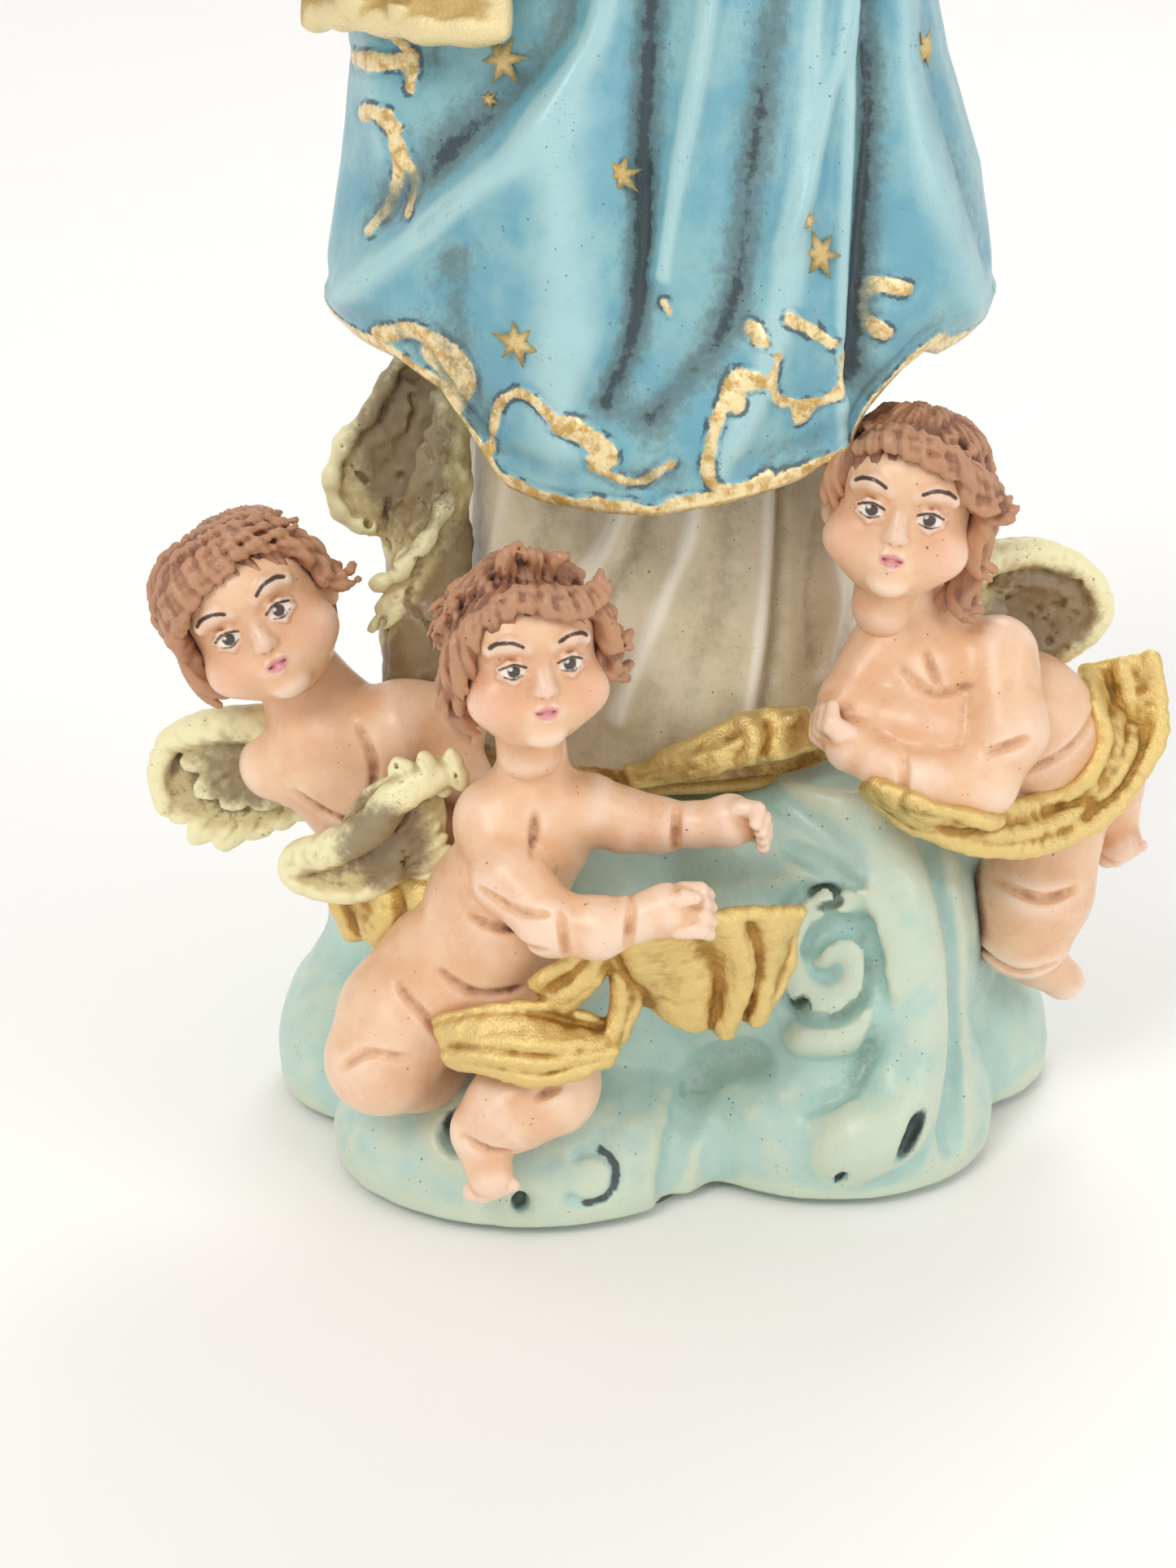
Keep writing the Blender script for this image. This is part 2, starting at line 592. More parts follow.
def buildMantle():
    m = mantle
    turns = np.linspace(-180, 180, m["columns"], endpoint=False)
    hem = np.interp(turns, m["hemTurn"], m["hemHeight"])
    v = np.linspace(0, 1, m["rows"])[:, None] ** 1.15
    z = hem + (m["top"] - hem) * v
    turn = np.broadcast_to(turns, z.shape)
    x, y, normal = mantlePoint(turn, z)
    out, gold = mantleRelief(turn, z, x)
    edge = z - hem
    gold = np.minimum(gold, edge - 0.75 - 0.45 * ripple(turn * 0.3, z, 9, 1.6))
    out += 0.11 * easeStep(-gold, -0.2, 0.15) - 0.10 * np.exp(-((gold - 0.34) / 0.18) ** 2)
    out -= 0.35 * np.exp(-((edge - 2.2) / 1.1) ** 2)      # slight hollow behind the hem's roll
    rows = [np.stack([x + normal[..., 0] * out, y + normal[..., 1] * out, z], -1)]
    broad = (out - blurred(out, 18)) * 0.42 + (out - blurred(out, 6)) * 0.25
    fine = (out - blurred(out, 2)) * 0.9
    values = {"fine": [fine], "broad": [broad], "gilt": [gold], "inside": [np.zeros_like(z)]}
    for drop, lift in ((0.35, -0.35), (0.95, -0.3), (1.5, 0.4), (2.2, 2.5), (3.4, 7.0)):
        ring = rows[0][0] - np.stack([normal[0, :, 0] * drop, normal[0, :, 1] * drop, -0 * hem], -1)
        ring[:, 2] = hem + lift
        rows.insert(0, ring[None])
        n = len(turns)
        for key, fill in (("fine", 0.0), ("broad", -0.1), ("gilt", 0.0 if drop < 1.2 else 2.0),
                          ("inside", float(easeStep(drop, 0.8, 2.0)))):
            values[key].insert(0, np.full((1, n), fill))
    points = np.concatenate(rows)
    levels, n = points.shape[:2]
    faces = ringFaces(levels, n)
    flat = points.reshape(-1, 3)
    cap = len(flat)
    top = points[-1].mean(0)
    flat = np.vstack([flat, top])
    faces += [((levels - 1) * n + i, (levels - 1) * n + (i + 1) % n, cap) for i in range(n)]
    values = {k: np.append(np.concatenate(v).ravel(), 0) for k, v in values.items()}
    return flat, faces, values, rows


mantlePoints, mantleFaces, mantleValues, mantleRows = buildMantle()
mantlePiece = addPiece("mantle_cloth", mantlePoints, mantleFaces, ["mantle"], mantleValues)
print("mantle", len(mantleFaces), "faces")


def mantlePaint():
    def goldOver(p, colour):
        gilt = p.attribute("gilt") + (p.noise(2.4, 3, 0.7) - 0.5) * 0.5
        worn = p.ramp(gilt, 0.1, -0.06)
        outline = p.ramp(gilt, 0.42, 0.24) * p.ramp(p.noise(0.7, 3), 0.46, 0.58)
        colour = p.mix(outline * 0.8, colour, srgb("223040"))
        leaf = p.mix(p.ramp(p.noise(0.9, 4, 0.7), 0.36, 0.6), srgb("c9a25a"), srgb("f7e2ae"))
        colour = p.mix(worn, colour, leaf)
        return p.mix(p.attribute("inside"), colour, srgb("26343c"))
    material = resinPaint("bluePaint", blueLook, goldOver)
    tree = material.node_tree
    p = Paint.__new__(Paint)
    p.material, p.tree = material, tree
    shader = next(n for n in tree.nodes if n.type == "BSDF_PRINCIPLED")
    p.place = next(n for n in tree.nodes if n.type == "VECT_MATH").outputs[0]
    gilt = p.attribute("gilt") + (p.noise(2.4, 3, 0.7) - 0.5) * 0.5
    metal = p.ramp(gilt, 0.1, -0.06) * (1 - p.attribute("inside")) * 0.4
    tree.links.new(metal.socket, shader.inputs["Metallic"])
    return material


bluePaint = mantlePaint()
mantlePiece.data.materials.append(bluePaint)


# The cloud: lobes, a scroll and slots modelled in its front
cloudBox = [np.array(c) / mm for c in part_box("cloud_base")]
cloud = {
    "step": 0.375, "blend": 2.2,
    # centre and radii of each lobe
    "lobes": [
        ((-1, 2, 12), (22, 19.5, 19.5)), ((-23.5, -2, 3.5), (7.5, 9.5, 9.8)),
        ((-10, -14.5, 2.5), (15.5, 13.2, 9.6)), ((13, -11.5, 3), (13.2, 12.2, 11.5)),
        ((24, 1.5, 2.5), (8.4, 10.5, 10.2)), ((10.5, -8.5, 17), (14.5, 12.0, 14.5)),
        ((-8.5, -9.5, 16), (13, 11.5, 13.5)), ((-17.5, 2, 15), (9.5, 10.5, 12.5)),
        ((14, 13.5, 5), (12.5, 12, 11)), ((-12.5, 14, 5), (13, 12.5, 11.5)),
        ((1.5, 12.5, 16), (15.5, 11.5, 15.5)), ((19.5, -2, 14), (7.5, 10, 12)),
        ((17.5, -12.5, 9.5), (6.2, 7, 9.5))],
    # scroll centre on the front, its turns and how fast it opens
    "scroll": (12.3, 19.4), "turns": 1.7, "opens": 5.2,
    # middle of each side peg and the way it points
    "pegs": (((-18.8, -6.8, 24.0), (-0.940, -0.342, 0)), ((21.0, -6.8, 24.0), (0.951, -0.309, 0))),
    # the slots that the dark wash fills, filled in while the cloud is modelled
    "marks": []}


def slotDepth(points):
    # 1 inside a slot, fading to 0 at its lip
    depth = np.zeros(len(points))
    for spot, size, turn in cloud["marks"]:
        depth = np.maximum(depth, 1.6 - np.linalg.norm(((points - spot) @ turn) / size, axis=1))
    return {"slot": np.clip(depth, 0, 1)}


def onCloud(clay, points, lift=0.0):
    out = []
    for x, z in points:
        hit = clay.front(x, z, -34)
        if hit is not None:
            out.append(hit + np.array([0, -lift, 0]))
    return np.array(out)


def buildCloud():
    c = cloud
    low, high = cloudBox[0] - 1.2, cloudBox[1] + 1.2
    clay = Clay(low, high, c["step"])
    for centre, radii in c["lobes"]:
        clay.oval(centre, radii, c["blend"])
    base = Clay(low, high, c["step"])
    base.field = clay.field.copy()
    # rolled scroll: a ridge that winds in, with a trench inside it
    cx, cz = c["scroll"]
    angles = np.linspace(0, 2 * math.pi * c["turns"], 46)
    reach = 0.9 + c["opens"] * angles / angles[-1]
    ridge = [(cx + 0.92 * r * math.cos(2.5 - a), cz + 1.05 * r * math.sin(2.5 - a)) for a,
             r in zip(angles, reach)]
    trench = [(cx + 0.92 * (r + 1.15) * math.cos(2.5 - a), cz + 1.05 * (r + 1.15) * math.sin(2.5 - a))
              for a, r in zip(angles[:-6], reach[:-6])]
    clay.limb(onCloud(base, ridge, 0.1), np.linspace(0.9, 1.5, len(ridge)), 0.9)
    line = onCloud(base, trench, 0.5)
    clay.groove(line, np.linspace(0.75, 0.5, len(line)), 0.7)
    for x, z, wide, tall in ((10.2, 16.6, 0.9, 1.5), (11.9, 23.9, 1.5, 0.7)):
        spot = onCloud(base, [(x, z)], -0.2)[0]
        clay.oval(spot, (wide, 1.7, tall), 0.5, None, True)
        c["marks"].append((spot, np.array((wide, 3, tall)) * 0.8, np.eye(3)))
    # long bank that sweeps down past the scroll
    bank = smoothLine([(11, 30.5), (14.8, 28), (17.6, 22), (18.6, 14), (17.4, 7.5), (13.5, 5.2)], 26)
    clay.limb(onCloud(base, bank, -0.9), np.linspace(2.0, 2.6, len(bank)), 1.6)
    edge = smoothLine([(9.5, 27), (12.6, 25.6), (15.1, 21.5), (16.1, 15.5), (14.6, 10.2), (11, 8.2)], 22)
    clay.groove(onCloud(clay, edge, 0.15), 0.42, 0.9)
    side = smoothLine([(20, 27), (21.6, 19), (22.3, 11), (22.2, 4)], 18)
    clay.groove(onCloud(clay, side, 0.2), 0.8, 1.6)
    lap = smoothLine([(0.8, 1), (1.2, 5), (3.5, 9.5), (6.8, 11)], 14)
    clay.groove(onCloud(clay, lap, 0.3), 0.7, 1.6)
    # slots and the small hooked mark that the modeller left open
    for x, z, tilt, size in ((18.6, 6.5, 22, (0.85, 1.9, 2.5)), (13.2, 3.4, 30, (0.4, 1.3, 1.0)),
                             (-15.2, 7.4, -8, (1.7, 2.2, 1.5)), (-10.8, 3.0, 0, (0.7, 1.4, 0.9))):
        spot = onCloud(clay, [(x, z)], 0.2)
        if len(spot):
            clay.oval(spot[0], size, 0.4, turnTo(angleY=tilt), True)
            c["marks"].append((spot[0], np.array(size) * (0.75, 3, 0.8), turnTo(angleY=tilt)))
    hook = [(-5.6 + 2.0 * math.cos(a),
             4.6 + 1.9 * math.sin(a)) for a in np.radians(np.linspace(-140, 120, 20))]
    line = onCloud(clay, hook, 0.1)
    clay.groove(line, 0.34, 0.2)
    c["marks"] += [(spot, np.array((0.32, 1.2, 0.32)), np.eye(3)) for spot in line[3:16]]
    for n, (x0, y0) in enumerate(((-22, 8), (22, 12), (8, 20), (-9, 21), (0, 17), (-16, 17))):
        # soft curls on the sides and the back, so that no side is plain
        cz = 9 + 5 * (n % 3)
        centre = np.array([x0, y0, cz], float)
        away = unit([x0, y0, 0])
        across = np.array([-away[1], away[0], 0])
        path = []
        for a in np.linspace(0, 2 * math.pi * 1.3, 26):
            r = 0.8 + 3.2 * a / (2 * math.pi * 1.3)
            start = centre + across * r * math.cos(a) + np.array([0, 0, r * math.sin(a)]) + away * 16
            for s in np.arange(0, 30, 0.3):
                if clay.at((start - away * s)[None])[0] < 0:
                    path.append(start - away * (s - 0.15))
                    break
        if len(path) > 3:
            clay.groove(path, 0.5, 0.8)
    for spot, away in c["pegs"]:
        # a puff of cloud rises round each side peg and meets the cherub that sits on it
        spot, away = np.array(spot), unit(away)
        clay.limb([spot - away * 7 - (0, 0, 3.5), spot - away * 2 - (0, 0, 0.8), spot + away * 4.4],
                  [5.5, 3.1, 1.9], 1.8)
    noise = np.random.default_rng(11).normal(0, 1, clay.count).astype(np.float32)
    clay.field += 0.9 * blurred(noise, 4) + 0.25 * blurred(noise, 1)
    grid = np.arange(clay.count[2]) * c["step"] + low[2]
    floor = (cloudBox[0][2] - grid)[None, None, :]
    roof = (grid - cloudBox[1][2])[None, None, :]
    clay.field = np.maximum(clay.field, np.maximum(floor, roof).astype(np.float32))
    return clay


cloudClay = buildCloud()
mintPaint = resinPaint("mintPaint", mintLook, lambda p, colour: p.mix(
    p.ramp(p.attribute("slot") + (p.noise(0.8, 4, 0.7) - 0.5) * 0.8, 0.3, 0.75) * 0.9, colour,
    srgb("1f262d")))
addClay("cloud_mint", cloudClay, ["cloud_base"], slotDepth,
        1.3).data.materials.append(mintPaint)


# The gown: a loft with pressed folds above the cloud
gown = {
    "columns": 284, "rows": 190, "low": 30.2,
    "heights": [30, 34, 45, 60, 85, 105, 115, 124, 131, 134.5, 136.2],
    "wide": [16.4, 16.0, 15.0, 14.2, 12.6, 10.0, 9.6, 10.6, 12.2, 9.0, 6.0],
    "deep": [13.6, 13.2, 12.4, 11.6, 10.4, 8.6, 8.4, 8.8, 8.0, 6.4, 5.2]}
gownFolds = [
    ([(7.6, 56), (7.4, 48), (6.9, 41), (6.0, 34)], 0.9, 0.55),
    ([(8.6, 56), (8.5, 44), (7.4, 34)], -0.8, 0.7),
    ([(12.8, 52), (12.2, 47), (13.0, 43), (12.0, 38)], 0.8, 0.8),
    ([(11.4, 50), (10.9, 44), (11.4, 39)], -0.6, 0.8),
    ([(-2.6, 56), (-4.0, 50), (-7.0, 45), (-9.5, 40)], 0.9, 0.9),
    ([(-0.8, 56), (-2.4, 49), (-5.2, 43), (-7.2, 37)], -0.8, 0.9),
    ([(2.4, 56), (1.6, 50), (-1.0, 43), (-3.6, 36)], 0.8, 0.9),
    ([(4.8, 55), (4.2, 46), (2.0, 38), (0.2, 33)], -0.5, 1.2),
    ([(-7.6, 56), (-9.0, 50), (-11.6, 44)], -0.7, 1.0),
    ([(-11, 56), (-12.4, 48), (-13.2, 40)], 0.8, 0.9)]


def gownPoint(turn, z):
    c, s = np.cos(np.radians(turn)), np.sin(np.radians(turn))
    wide, deep = np.interp(z, gown["heights"], gown["wide"]), np.interp(z, gown["heights"], gown["deep"])
    normal = np.stack([c / wide, -s / deep], -1)
    normal /= np.linalg.norm(normal, axis=-1, keepdims=True)
    x, y = wide * c, -deep * s
    out = np.zeros_like(x)
    for line, height, width in gownFolds:
        out += 0.75 * height * np.exp(-(lineDistance(x, z, smoothLine(line, 24)) / width) ** 1.6)
    ahead = easeStep(s, 0.0, 0.3)
    lower = easeStep(z, 70, 56)
    pleats = 0.45 * np.cos(np.radians(turn) * 13 + 0.6 * np.sin(z / 7)) * easeStep(z, 128, 100)
    bust = 1.5 * np.exp(-((np.abs(x) - 4.4) / 3.2) ** 2 - ((z - 124) / 5.0) ** 2) * ahead
    sash = -0.5 * np.exp(-((z - 113.5) / 1.2) ** 2)
    out = out * ahead * lower + pleats * (1 - ahead * lower) + bust + sash
    return x, y, normal, out + 0.12 * ripple(x, z, 21, 0.6)


def buildGown():
    g = gown
    turns = np.linspace(-180, 180, g["columns"], endpoint=False)
    v = np.linspace(0, 1, g["rows"])[:, None]
    z = np.broadcast_to(g["low"] + (g["heights"][-1] - g["low"]) * v, (g["rows"], g["columns"])).copy()
    turn = np.broadcast_to(turns, z.shape)
    x, y, normal, out = gownPoint(turn, z)
    gold = np.minimum(z - 31.9, np.abs(z - 134.4) - 0.6) - 0.5 * ripple(turn * 0.25, z, 31, 1.2)
    out = out + 0.2 * easeStep(-gold, -0.3, 0.3)
    points = np.stack([x + normal[..., 0] * out, y + normal[..., 1] * out, z], -1)
    n = g["columns"]
    faces = ringFaces(g["rows"], n)
    flat = np.vstack([points.reshape(-1, 3), points[0].mean(0), points[-1].mean(0)])
    low, high = len(flat) - 2, len(flat) - 1
    last = (g["rows"] - 1) * n
    faces += [(low, (i + 1) % n, i) for i in range(n)]
    faces += [(last + i, last + (i + 1) % n, high) for i in range(n)]
    values = {"fine": (out - blurred(out, 2)) * 0.6, "broad": (out - blurred(out, 6)) * 0.45, "gilt": gold}
    return flat, faces, {k: np.append(v.ravel(), [0, 0]) for k, v in values.items()}


def goldBorder(p, colour):
    gilt = p.attribute("gilt") + (p.noise(2.0, 3, 0.7) - 0.5) * 0.8
    leaf = p.mix(p.ramp(p.noise(0.9, 4, 0.7), 0.4, 0.62), srgb("a88036"), srgb("e0c078"))
    return p.mix(p.ramp(gilt, 0.15, -0.1), colour, leaf)


creamPaint = resinPaint("creamPaint", creamLook, goldBorder)
gownPoints, gownFaces, gownValues = buildGown()
gownPiece = addPiece("gown_cloth", gownPoints, gownFaces, ["gown"], gownValues)
gownPiece.data.materials.append(creamPaint)
print("gown done")


# Cherubs
def centreOf(node):
    low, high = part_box(node)
    return (np.array(low) + np.array(high)) / 2 / mm


class Pose:
    # a head's or limb's own frame: its origin, its turn and its scale
    def __init__(self, origin, turn=(0, 0, 0), scale=1.0):
        self.origin, self.turn, self.scale = np.array(origin, float), turnTo(*turn), scale

    def out(self, p):
        return self.origin + (np.atleast_2d(p) * self.scale) @ self.turn.T

    def back(self, p):
        return ((np.array(p) - self.origin) @ self.turn) / self.scale


class Sculpt:
    # clay worked in a pose's own frame
    def __init__(self, pose, low, high, step):
        corners = pose.out([(x, y, z) for x in (low[0], high[0]) for y in (low[1],
                high[1]) for z in (low[2], high[2])])
        self.pose, self.clay = pose, Clay(corners.min(0), corners.max(0), step)

    def oval(self, c, radii, blend=0.6, tilt=(0, 0, 0), cut=False):
        k = self.pose.scale
        self.clay.oval(self.pose.out(c)[0], np.array(radii) * k, blend * k, self.pose.turn @ turnTo(*tilt),
                       cut)

    def limb(self, points, radii, blend=0.6, cut=False):
        k = self.pose.scale
        self.clay.limb(self.pose.out(points), np.array(radii) * k, blend * k, cut)

    def both(self, kind, spots, *rest, **more):
        # the same on each side of the face
        for side in (-1, 1):
            mirrored = [(side * p[0], p[1], p[2]) for p in (spots if isinstance(spots, list) else [spots])]
            getattr(self, kind)(mirrored if isinstance(spots, list) else mirrored[0], *rest, **more)


faceShape = {"step": 0.15}
childMarks = {
    "brow": [(1.3, 1.95), (2.1, 2.35), (3.0, 2.3), (3.5, 2.0)], "browHalf": 0.13,
    "lash": [(1.15, 0.4), (1.7, 0.68), (2.3, 0.74), (3.0, 0.42)], "lashHalf": 0.1,
    "under": [(1.4, -0.12), (2.1, -0.32), (2.8, -0.08)], "iris": (2.02, 0.24, 0.45),
    "white": (2.06, 0.18, 0.88, 0.46), "lip": (0, -2.95, 0.85, 0.5), "cheek": (3.2, -2.0, 2.1),
    "nose": (-1.3, 0.9)}


def sculptFace(pose):
    s = Sculpt(pose, (-6.8, -7.4, -7.8), (6.8, 6.8, 7), faceShape["step"])
    s.oval((0, 0.6, 0.9), (5.3, 5.3, 5.0))
    s.oval((0, -1.3, -1.1), (4.75, 4.4, 4.9), 1.0)
    s.oval((0, -2.5, 2.3), (4.5, 3.25, 3.2), 1.0)
    s.oval((0, -2.0, -3.5), (3.5, 3.3, 2.3), 1.3)
    s.both("oval", (2.75, -3.5, -2.2), (2.4, 1.85, 2.05), 1.1)
    s.oval((0, -4.75, -4.75), (1.35, 1.0, 0.95), 0.9)
    s.both("oval", (2.05, -6.3, 0.35), (1.35, 0.95, 0.8), 0.9, cut=True)
    s.both("oval", (2.05, -4.62, 0.22), (1.1, 0.85, 0.66), 0.2)
    s.both("limb", [(1.05, -5.3, 0.4), (1.6, -5.55, 0.74), (2.4, -5.5, 0.82), (3.15, -4.95, 0.45)],
           [0.16, 0.2, 0.2, 0.14], 0.25)
    s.both("limb", [(1.1, -5.35, -0.2), (2.1, -5.5, -0.55), (3.1, -4.95, -0.1)], [0.16, 0.2, 0.14], 0.25)
    s.both("limb", [(1.0, -5.4, 1.7), (2.2, -5.35, 2.1), (3.5, -4.6, 1.7)], 0.26, 0.9)
    s.limb([(0, -5.1, 0.8), (0, -5.4, -0.3), (0, -5.95, -1.2)], [0.35, 0.42, 0.68], 0.8)
    s.both("oval", (0.55, -5.6, -1.4), (0.4, 0.45, 0.36), 0.3)
    s.both("oval", (0.3, -6.0, -1.82), (0.15, 0.26, 0.12), 0.1, cut=True)
    s.oval((0, -5.0, -2.95), (1.6, 0.75, 1.1), 0.7)
    s.limb([(-1.15, -5.15, -2.78), (-0.42, -5.68, -2.55), (0, -5.7, -2.66), (0.42, -5.68, -2.55),
            (1.15, -5.15, -2.78)],
           [0.16, 0.34, 0.3, 0.34, 0.16], 0.25)
    s.limb([(-0.85, -5.2, -3.15), (0, -5.6, -3.28), (0.85, -5.2, -3.15)], [0.2, 0.4, 0.2], 0.25)
    s.limb([(-1.2, -5.25, -2.9), (0, -6.05, -2.93), (1.2, -5.25, -2.9)], 0.13, 0.12, True)
    s.both("oval", (5.0, 0.2, -0.7), (0.8, 1.2, 1.6), 0.4)
    s.limb([(0, 0.8, -4), (0, 1.2, -7.4)], [2.5, 2.4], 1.0)
    return s.clay


def facePaint(pose, marks=childMarks):
    # signed distances, in the face's own millimetres, to what is painted on it
    def values(points):
        m, q = marks, pose.back(points)
        x, y, z = np.abs(q[:, 0]), q[:, 1], q[:, 2]
        away = np.where(y < -2.5, 0, 5)
        brow = lineDistance(x, z, smoothLine(m["brow"], 12)) - m["browHalf"]
        lash = lineDistance(x, z, smoothLine(m["lash"], 12)) - m["lashHalf"]
        lash = np.minimum(lash, lineDistance(x, z, smoothLine(m["under"], 8)) - 0.05)
        ix, iz, ir = m["iris"]
        iris = np.hypot(x - ix, z - iz) - ir
        glint = 0.16 - np.hypot(q[:, 0] - np.sign(q[:, 0]) * ix + 0.22, z - iz - 0.2)
        wx, wz, ww, wh = m["white"]
        white = (np.hypot((x - wx) / ww, (z - wz) / wh) - 1) * wh
        lx, lz, lw, lh = m["lip"]
        lip = (np.hypot((x - lx) / lw, (z - lz) / lh) - 1) * lh
        socket = np.hypot((x - ix) / 1.9, (z - iz - 0.2) / 1.3) - 1
        cx, cz, cr = m["cheek"]
        cheek = np.hypot(x - cx, z - cz) / cr
        nose = np.hypot(x, z - m["nose"][0]) / m["nose"][1]
        return {"ink": np.minimum(np.minimum(brow, lash), np.maximum(np.maximum(iris, glint), white))
                + away,
                "white": white + away, "lip": lip + away,
                "socket": np.where(y < -2.5, np.clip(1 - socket, 0, 1), 0),
                "blush": np.where(y < -2, np.clip(1.2 - cheek, 0, 1) + 0.5 * np.clip(1 - nose, 0, 1), 0)}
    return values


hairShape = {"step": 0.18, "parting": 0.6, "snug": 0.95, "layers": ((27, 5.5), (23, 5.75), (15, 6.05)),
             "strands": 5}


def sculptHair(pose, style):
    s = Sculpt(pose, (-8.4, -8.6, -7.6), (8.4, 8.6, 9.6), hairShape["step"])
    s.oval((0, 0.9, 1.0), (5.6, 5.6, 5.1))
    s.oval((0, 2.2, -1.4), (4.9, 4.5, 4.6), 1.0)
    s.oval((0, -2.3, 2.9), (4.7, 3.15, 2.85), 0.6)
    s.oval((0, -7.6, -2.0), (4.7, 5.4, 6.1), 0.5, cut=True)
    rng = np.random.default_rng(style["seed"])
    for layer, (count, lift) in enumerate(hairShape["layers"]):
        for i in range(count):
            around = 360 * (i + 0.5 * layer) / count + rng.uniform(-7, 7)
            ahead = math.cos(math.radians(around))
            reach = 54 + 40 * (1 - ahead) / 2 * style.get("fall", 1.15) + rng.uniform(-8, 9) - 13 * layer
            if ahead > 0.3:
                reach = style.get("fringe", 42) + rng.uniform(-7, 9) - 3 * layer
            bend = style.get("sweep", 20) + rng.uniform(-16, 16)
            flick = rng.uniform(0.0, 0.8)
            path, sizes = [], []
            steps = 9
            for k in range(steps):
                t = k / (steps - 1)
                polar = math.radians(8 + (reach - 8) * t)
                turn = math.radians(around + bend * t + 57 * style["curl"] * math.sin(t * 6 + i * 1.9))
                r = lift + 0.3 * math.sin(t * 6 + i) + (flick * (t - 0.7) * 3.3 if t > 0.7 else 0)
                path.append((r * math.sin(polar) * math.sin(turn) + hairShape["parting"] * (1 - t),
                             -r * math.sin(polar) * math.cos(turn) * 0.98 + 0.9,
                             r * math.cos(polar) * 0.9 + 1.0))
                sizes.append((0.5 + 0.3 * math.sin(math.pi * min(1, t + 0.15))) * (1 - 0.62 * t * t))
            s.limb(smoothLine(path, 14), np.interp(np.linspace(0, 1, 14), np.linspace(0, 1, steps), sizes),
                   0.22)
    for tuft in style.get("tufts", []):
        s.limb(smoothLine(tuft, 10), np.linspace(0.9, 0.3, 10), 0.25)
    for lock in style.get("locks", []):
        # a lock is a few strands that twist round each other and part at the tip
        along = np.linspace(0, 1, 18)[:, None]
        for k in range(hairShape["strands"]):
            a = 2 * math.pi * k / hairShape["strands"] + 4.2 * along
            off = np.hstack([np.cos(a), 0.6 * np.sin(a), np.sin(a)]) * (0.32 + 0.4 * along)
            line = smoothLine(lock, 18) * hairShape["snug"] + off + rng.uniform(-0.15, 0.15, 3)
            s.limb(line, np.concatenate([np.linspace(0.36, 0.52, 9), np.linspace(0.52, 0.24, 9)]), 0.12)
    clay = s.clay
    grid = [clay.low[i] + clay.step * np.arange(clay.count[i]) for i in range(3)]
    q = pose.back(np.stack(np.meshgrid(*grid, indexing="ij"), -1))
    around = np.arctan2(q[..., 0], -(q[..., 1] - 0.9))
    height = q[..., 2]
    strands = np.sin(around * 30 + 2.2 * np.sin(height * 0.9 + style["seed"]) + 1.3 * np.sin(around * 5))
    clay.field += (0.10 * strands + 0.06 * np.sin(around * 63 + height * 2.1)).astype(np.float32)
    return clay


skinLook = {"base": "efc6a1", "second": "e6b48b", "light": "fbe4d2", "dark": "a26f55", "deep": "573526",
            "wash": 0.8, "crest": 0.6, "speck": 0.2, "rough": 0.36, "under": 1.35, "glow": 0.12,
            "hollow": 1.8, "washFrom": 0.2, "washTo": 1.15, "ragged": 1.1, "clouded": 0.9, "patch": 0.22,
            "relief": 0.06}
hairLook = {"base": "8b5b42", "second": "a87250", "light": "cf9c76", "dark": "532f1f", "deep": "301a12",
            "wash": 0.9, "crest": 0.6, "crestFrom": 0.15, "speck": 0.5, "rough": 0.42, "hollow": 2.0,
            "washFrom": 0.15, "patch": 0.3, "clouded": 1.0, "ragged": 1.5}
wingLook = {"base": "bfab78", "second": "d2c28a", "light": "f4ecbc", "dark": "7c6644", "deep": "3b2e22",
            "wash": 0.9, "crest": 0.95, "crestFrom": 0.04, "speck": 0.8, "rough": 0.4, "washFrom": 0.1,
            "washTo": 0.85, "hollow": 2.2, "ragged": 2.0, "clouded": 1.2}


def facePaintOver(p, colour):
    wob = (p.noise(2.2, 3, 0.7) - 0.5) * 0.22
    colour = p.mix(p.attribute("blush") * 0.36, colour, srgb("e59a7e"))
    colour = p.mix(p.attribute("socket") * 0.2, colour, srgb("b47a5c"))
    colour = p.mix(p.ramp(p.attribute("lip") + wob, 0.14, -0.12) * 0.85, colour, srgb("d98a92"))
    colour = p.mix(p.ramp(p.attribute("white") + wob, 0.06, -0.06), colour, srgb("efe4d8"))
    return p.mix(p.ramp(p.attribute("ink") + wob * 0.7, 0.06, -0.05) * 0.95, colour, srgb("321a13"))


skinPaint = resinPaint("skinPaint", skinLook)
facesPaint = resinPaint("facePaint", skinLook, facePaintOver)
hairPaint = resinPaint("hairPaint", hairLook)
wingPaint = resinPaint("wingPaint", wingLook, lambda p, colour: p.mix(
    p.ramp(p.attribute("stain") * 1.5 + (p.noise(0.7, 4, 0.7) - 0.5) * 1.5, 0.35, 1.2) * 0.85, colour,
    srgb("7d6546")))
goldPaint = giltPaint("goldPaint", goldLook)


def insideOf(points, centre, wide, high):
    # 1 within an oval seen from the front, fading to 0 outside it
    far = np.hypot((points[:, 0] - centre[0]) / wide, (points[:, 2] - centre[1]) / high)
    return np.clip(1.7 - 1.2 * far, 0, 1)


def clayPiece(name, clay, replaces, material, extra=None, folds=0.7):
    piece = addClay(name, clay, replaces, extra, folds)
    piece.data.materials.append(material)
    return piece


def addHead(name, node, pose, style):
    clayPiece(name + "_face", sculptFace(pose), [node], facesPaint, facePaint(pose), 0.6)
    clayPiece(name + "_hair", sculptHair(pose, style), [node], hairPaint, None, 0.6)


